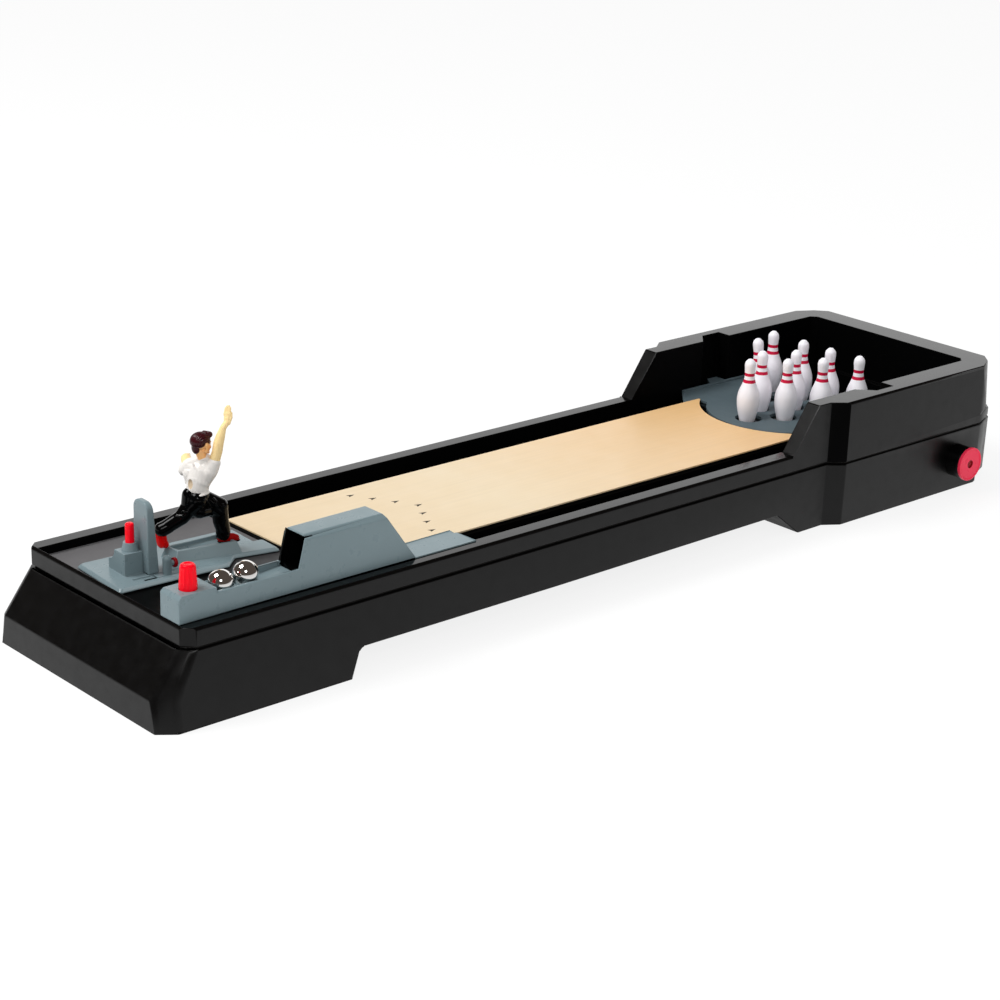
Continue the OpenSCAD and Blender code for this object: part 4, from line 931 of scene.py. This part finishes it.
# A flange, the stem with a shallow groove round it, and a rounded top
def makePeg():
    low, high = (corner[2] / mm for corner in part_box("trigger_peg"))
    line = [(0, low), (2.6, low), (2.6, low + 1.3), (2.0, low + 1.3), (2.0, high - 9.9), (1.9, high - 9.5),
            (2.0, high - 9.1), (1.96, high - 0.9), (1.85, high - 0.45), (1.55, high - 0.1), (1.1, high),
            (0, high)]
    turnedCap("peg_turned", "trigger_peg", "trigger", divided(line, 0.6), around=redParts["pegAround"])


makeButton()
makePeg()

# Coil springs under the button and the peg, copied from their nodes with smooth shading
springs = {"button_spring": ("casing", "button_press"), "trigger_spring": ("launcher", "trigger_press")}
for node, (body, joint) in springs.items():
    bm = bmesh.new()
    bm.from_mesh(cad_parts[node].data)
    bm.transform(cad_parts[node].matrix_world)
    bmesh.ops.remove_doubles(bm, verts=bm.verts, dist=rounding["merge"])
    shadeSmooth(bm)
    coil = addPiece(bm, node + "_coil", [screwSteel], body, [node])
    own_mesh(coil)

softened("striker_pad", "striker", redParts["padEdge"], [darkRed], 0.2)
print("caps ready")


# Studio: a pale floor, a white world and soft lamps, in metres

studio = {
    "floorSize": (8, 8), "floorTone": 0.85, "floorRough": 0.9, "floorGlow": 1.06, "glowShare": 0.8,
    "mirrorGlow": (0.75, 1.05), "mirrorFade": (0.5, -0.3),
    "worldLight": 0.55, "glossySky": (0.085, 0.07, 0.06),
    "backdropGlow": 1.22, "backdropAt": (-2.1, 2.6, 0.9), "backdropTurn": 47.9, "backdropSize": (3.2, 1.0),
    "key": {"at": (-0.5, -0.6, 1.5), "aim": (0, 0.25, 0), "size": 0.7, "power": 22.0},
    "fill": {"at": (1.3, -0.72, 1.12), "aim": (0.06, 0, 0.02), "size": 0.45, "power": 6.0},
}


# Shows the second shader to the named kinds of ray and the first to all others
def mixedByRay(nodes, links, rays, first, second):
    path = nodes.new("ShaderNodeLightPath")
    total = path.outputs[rays[0]]
    for ray in rays[1:]:
        either = nodes.new("ShaderNodeMath")
        either.operation = "MAXIMUM"
        links.new(total, either.inputs[0])
        links.new(path.outputs[ray], either.inputs[1])
        total = either.outputs[0]
    mix = nodes.new("ShaderNodeMixShader")
    links.new(total, mix.inputs[0])
    links.new(first, mix.inputs[1])
    links.new(second, mix.inputs[2])
    return mix.outputs[0]


# A flat sheet of the stage with a material of its own
def makeSheet(name, size, place):
    bm = bmesh.new()
    bmesh.ops.create_grid(bm, x_segments=1, y_segments=1, size=1)
    bmesh.ops.scale(bm, vec=(size[0], size[1], 1), verts=bm.verts)
    bm.transform(place)
    mesh = bpy.data.meshes.new(name)
    bm.to_mesh(mesh)
    bm.free()
    obj = bpy.data.objects.new(name, mesh)
    bpy.context.scene.collection.objects.link(obj)
    mat = bpy.data.materials.new(name)
    mat.use_nodes = True
    mesh.materials.append(mat)
    return obj, mat.node_tree.nodes, mat.node_tree.links


# The floor takes the object's shadow and is paper white to the camera; in reflections it is brighter to
# the left
def makeFloor():
    obj, nodes, links = makeSheet("floor", studio["floorSize"], Matrix())
    shader = nodes["Principled BSDF"]
    shader.inputs["Base Color"].default_value = (*grey(studio["floorTone"]), 1)
    shader.inputs["Roughness"].default_value = studio["floorRough"]
    shader.inputs["Specular IOR Level"].default_value = 0.0
    glow = nodes.new("ShaderNodeEmission")
    glow.inputs["Strength"].default_value = studio["floorGlow"]
    half = nodes.new("ShaderNodeMixShader")
    half.inputs[0].default_value = studio["glowShare"]
    links.new(shader.outputs[0], half.inputs[1])
    links.new(glow.outputs[0], half.inputs[2])
    place = nodes.new("ShaderNodeTexCoord")
    split = nodes.new("ShaderNodeSeparateXYZ")
    links.new(place.outputs["Object"], split.inputs[0])
    fade = nodes.new("ShaderNodeMapRange")
    fade.inputs["From Min"].default_value, fade.inputs["From Max"].default_value = studio["mirrorFade"]
    fade.inputs["To Min"].default_value, fade.inputs["To Max"].default_value = studio["mirrorGlow"]
    links.new(split.outputs["X"], fade.inputs["Value"])
    mirror = nodes.new("ShaderNodeEmission")
    links.new(fade.outputs["Result"], mirror.inputs["Strength"])
    seen = mixedByRay(nodes, links, ["Is Camera Ray"], shader.outputs[0], half.outputs[0])
    links.new(mixedByRay(nodes, links, ["Is Glossy Ray"], seen, mirror.outputs[0]),
              nodes["Material Output"].inputs["Surface"])


# A white sheet far behind the set that only reflections show
def makeBackdrop():
    turned = Matrix.Rotation(math.radians(studio["backdropTurn"]), 4, "Z")
    place = Matrix.Translation(studio["backdropAt"]) @ turned @ Matrix.Rotation(math.radians(90), 4, "X")
    obj, nodes, links = makeSheet("backdrop", studio["backdropSize"], place)
    glow = nodes.new("ShaderNodeEmission")
    glow.inputs["Strength"].default_value = studio["backdropGlow"]
    links.new(glow.outputs[0], nodes["Material Output"].inputs["Surface"])
    obj.visible_camera = False
    obj.visible_diffuse = False
    obj.visible_shadow = False


def makeWorld():
    world = bpy.data.worlds.new("studio")
    bpy.context.scene.world = world
    world.use_nodes = True
    nodes, links = world.node_tree.nodes, world.node_tree.links
    light = nodes["Background"]
    light.inputs["Color"].default_value = (1, 1, 1, 1)
    light.inputs["Strength"].default_value = studio["worldLight"]
    sky = nodes.new("ShaderNodeBackground")
    sky.inputs["Color"].default_value = (*studio["glossySky"], 1)
    white = nodes.new("ShaderNodeBackground")
    white.inputs["Color"].default_value = (1, 1, 1, 1)
    reflected = mixedByRay(nodes, links, ["Is Glossy Ray"], light.outputs[0], sky.outputs[0])
    links.new(mixedByRay(nodes, links, ["Is Camera Ray", "Is Transmission Ray"], reflected, white.outputs[0]),
              nodes["World Output"].inputs["Surface"])


def addLamp(name, at, aim, size, power):
    lamp = bpy.data.lights.new(name, "AREA")
    lamp.size = size
    lamp.energy = power
    obj = bpy.data.objects.new(name, lamp)
    obj.location = at
    obj.rotation_mode = "QUATERNION"
    obj.rotation_quaternion = (Vector(aim) - Vector(at)).to_track_quat("-Z", "Y")
    bpy.context.scene.collection.objects.link(obj)


# The photograph's camera: its direction and roll in degrees, its lens and film in millimetres, its place and
# its range in metres
view = {"turn": 47.904, "pitch": 19.884, "roll": 1.770, "lens": 85.781, "film": 36,
        "place": (0.806759, -0.503124, 0.425495), "range": (0.05, 30)}


def makeCamera():
    turn, pitch, roll = (math.radians(view[part]) for part in ("turn", "pitch", "roll"))
    back = Vector((math.sin(turn) * math.cos(pitch), -math.cos(turn) * math.cos(pitch), math.sin(pitch)))
    side = (-back).cross(Vector((0, 0, 1))).normalized()
    up = side.cross(-back)
    right = math.cos(roll) * side + math.sin(roll) * up
    upward = -math.sin(roll) * side + math.cos(roll) * up
    cam = bpy.data.cameras.new("camera")
    cam.sensor_width = view["film"]
    cam.lens = view["lens"]
    cam.clip_start, cam.clip_end = view["range"]
    obj = bpy.data.objects.new("camera", cam)
    turned = Matrix((right, upward, back)).transposed().to_4x4()
    obj.matrix_world = Matrix.Translation(view["place"]) @ turned
    bpy.context.scene.collection.objects.link(obj)
    bpy.context.scene.camera = obj


makeFloor()
makeBackdrop()
makeWorld()
addLamp("key", **studio["key"])
addLamp("fill", **studio["fill"])
makeCamera()
bpy.context.scene.view_settings.view_transform = "Standard"
print("studio ready")
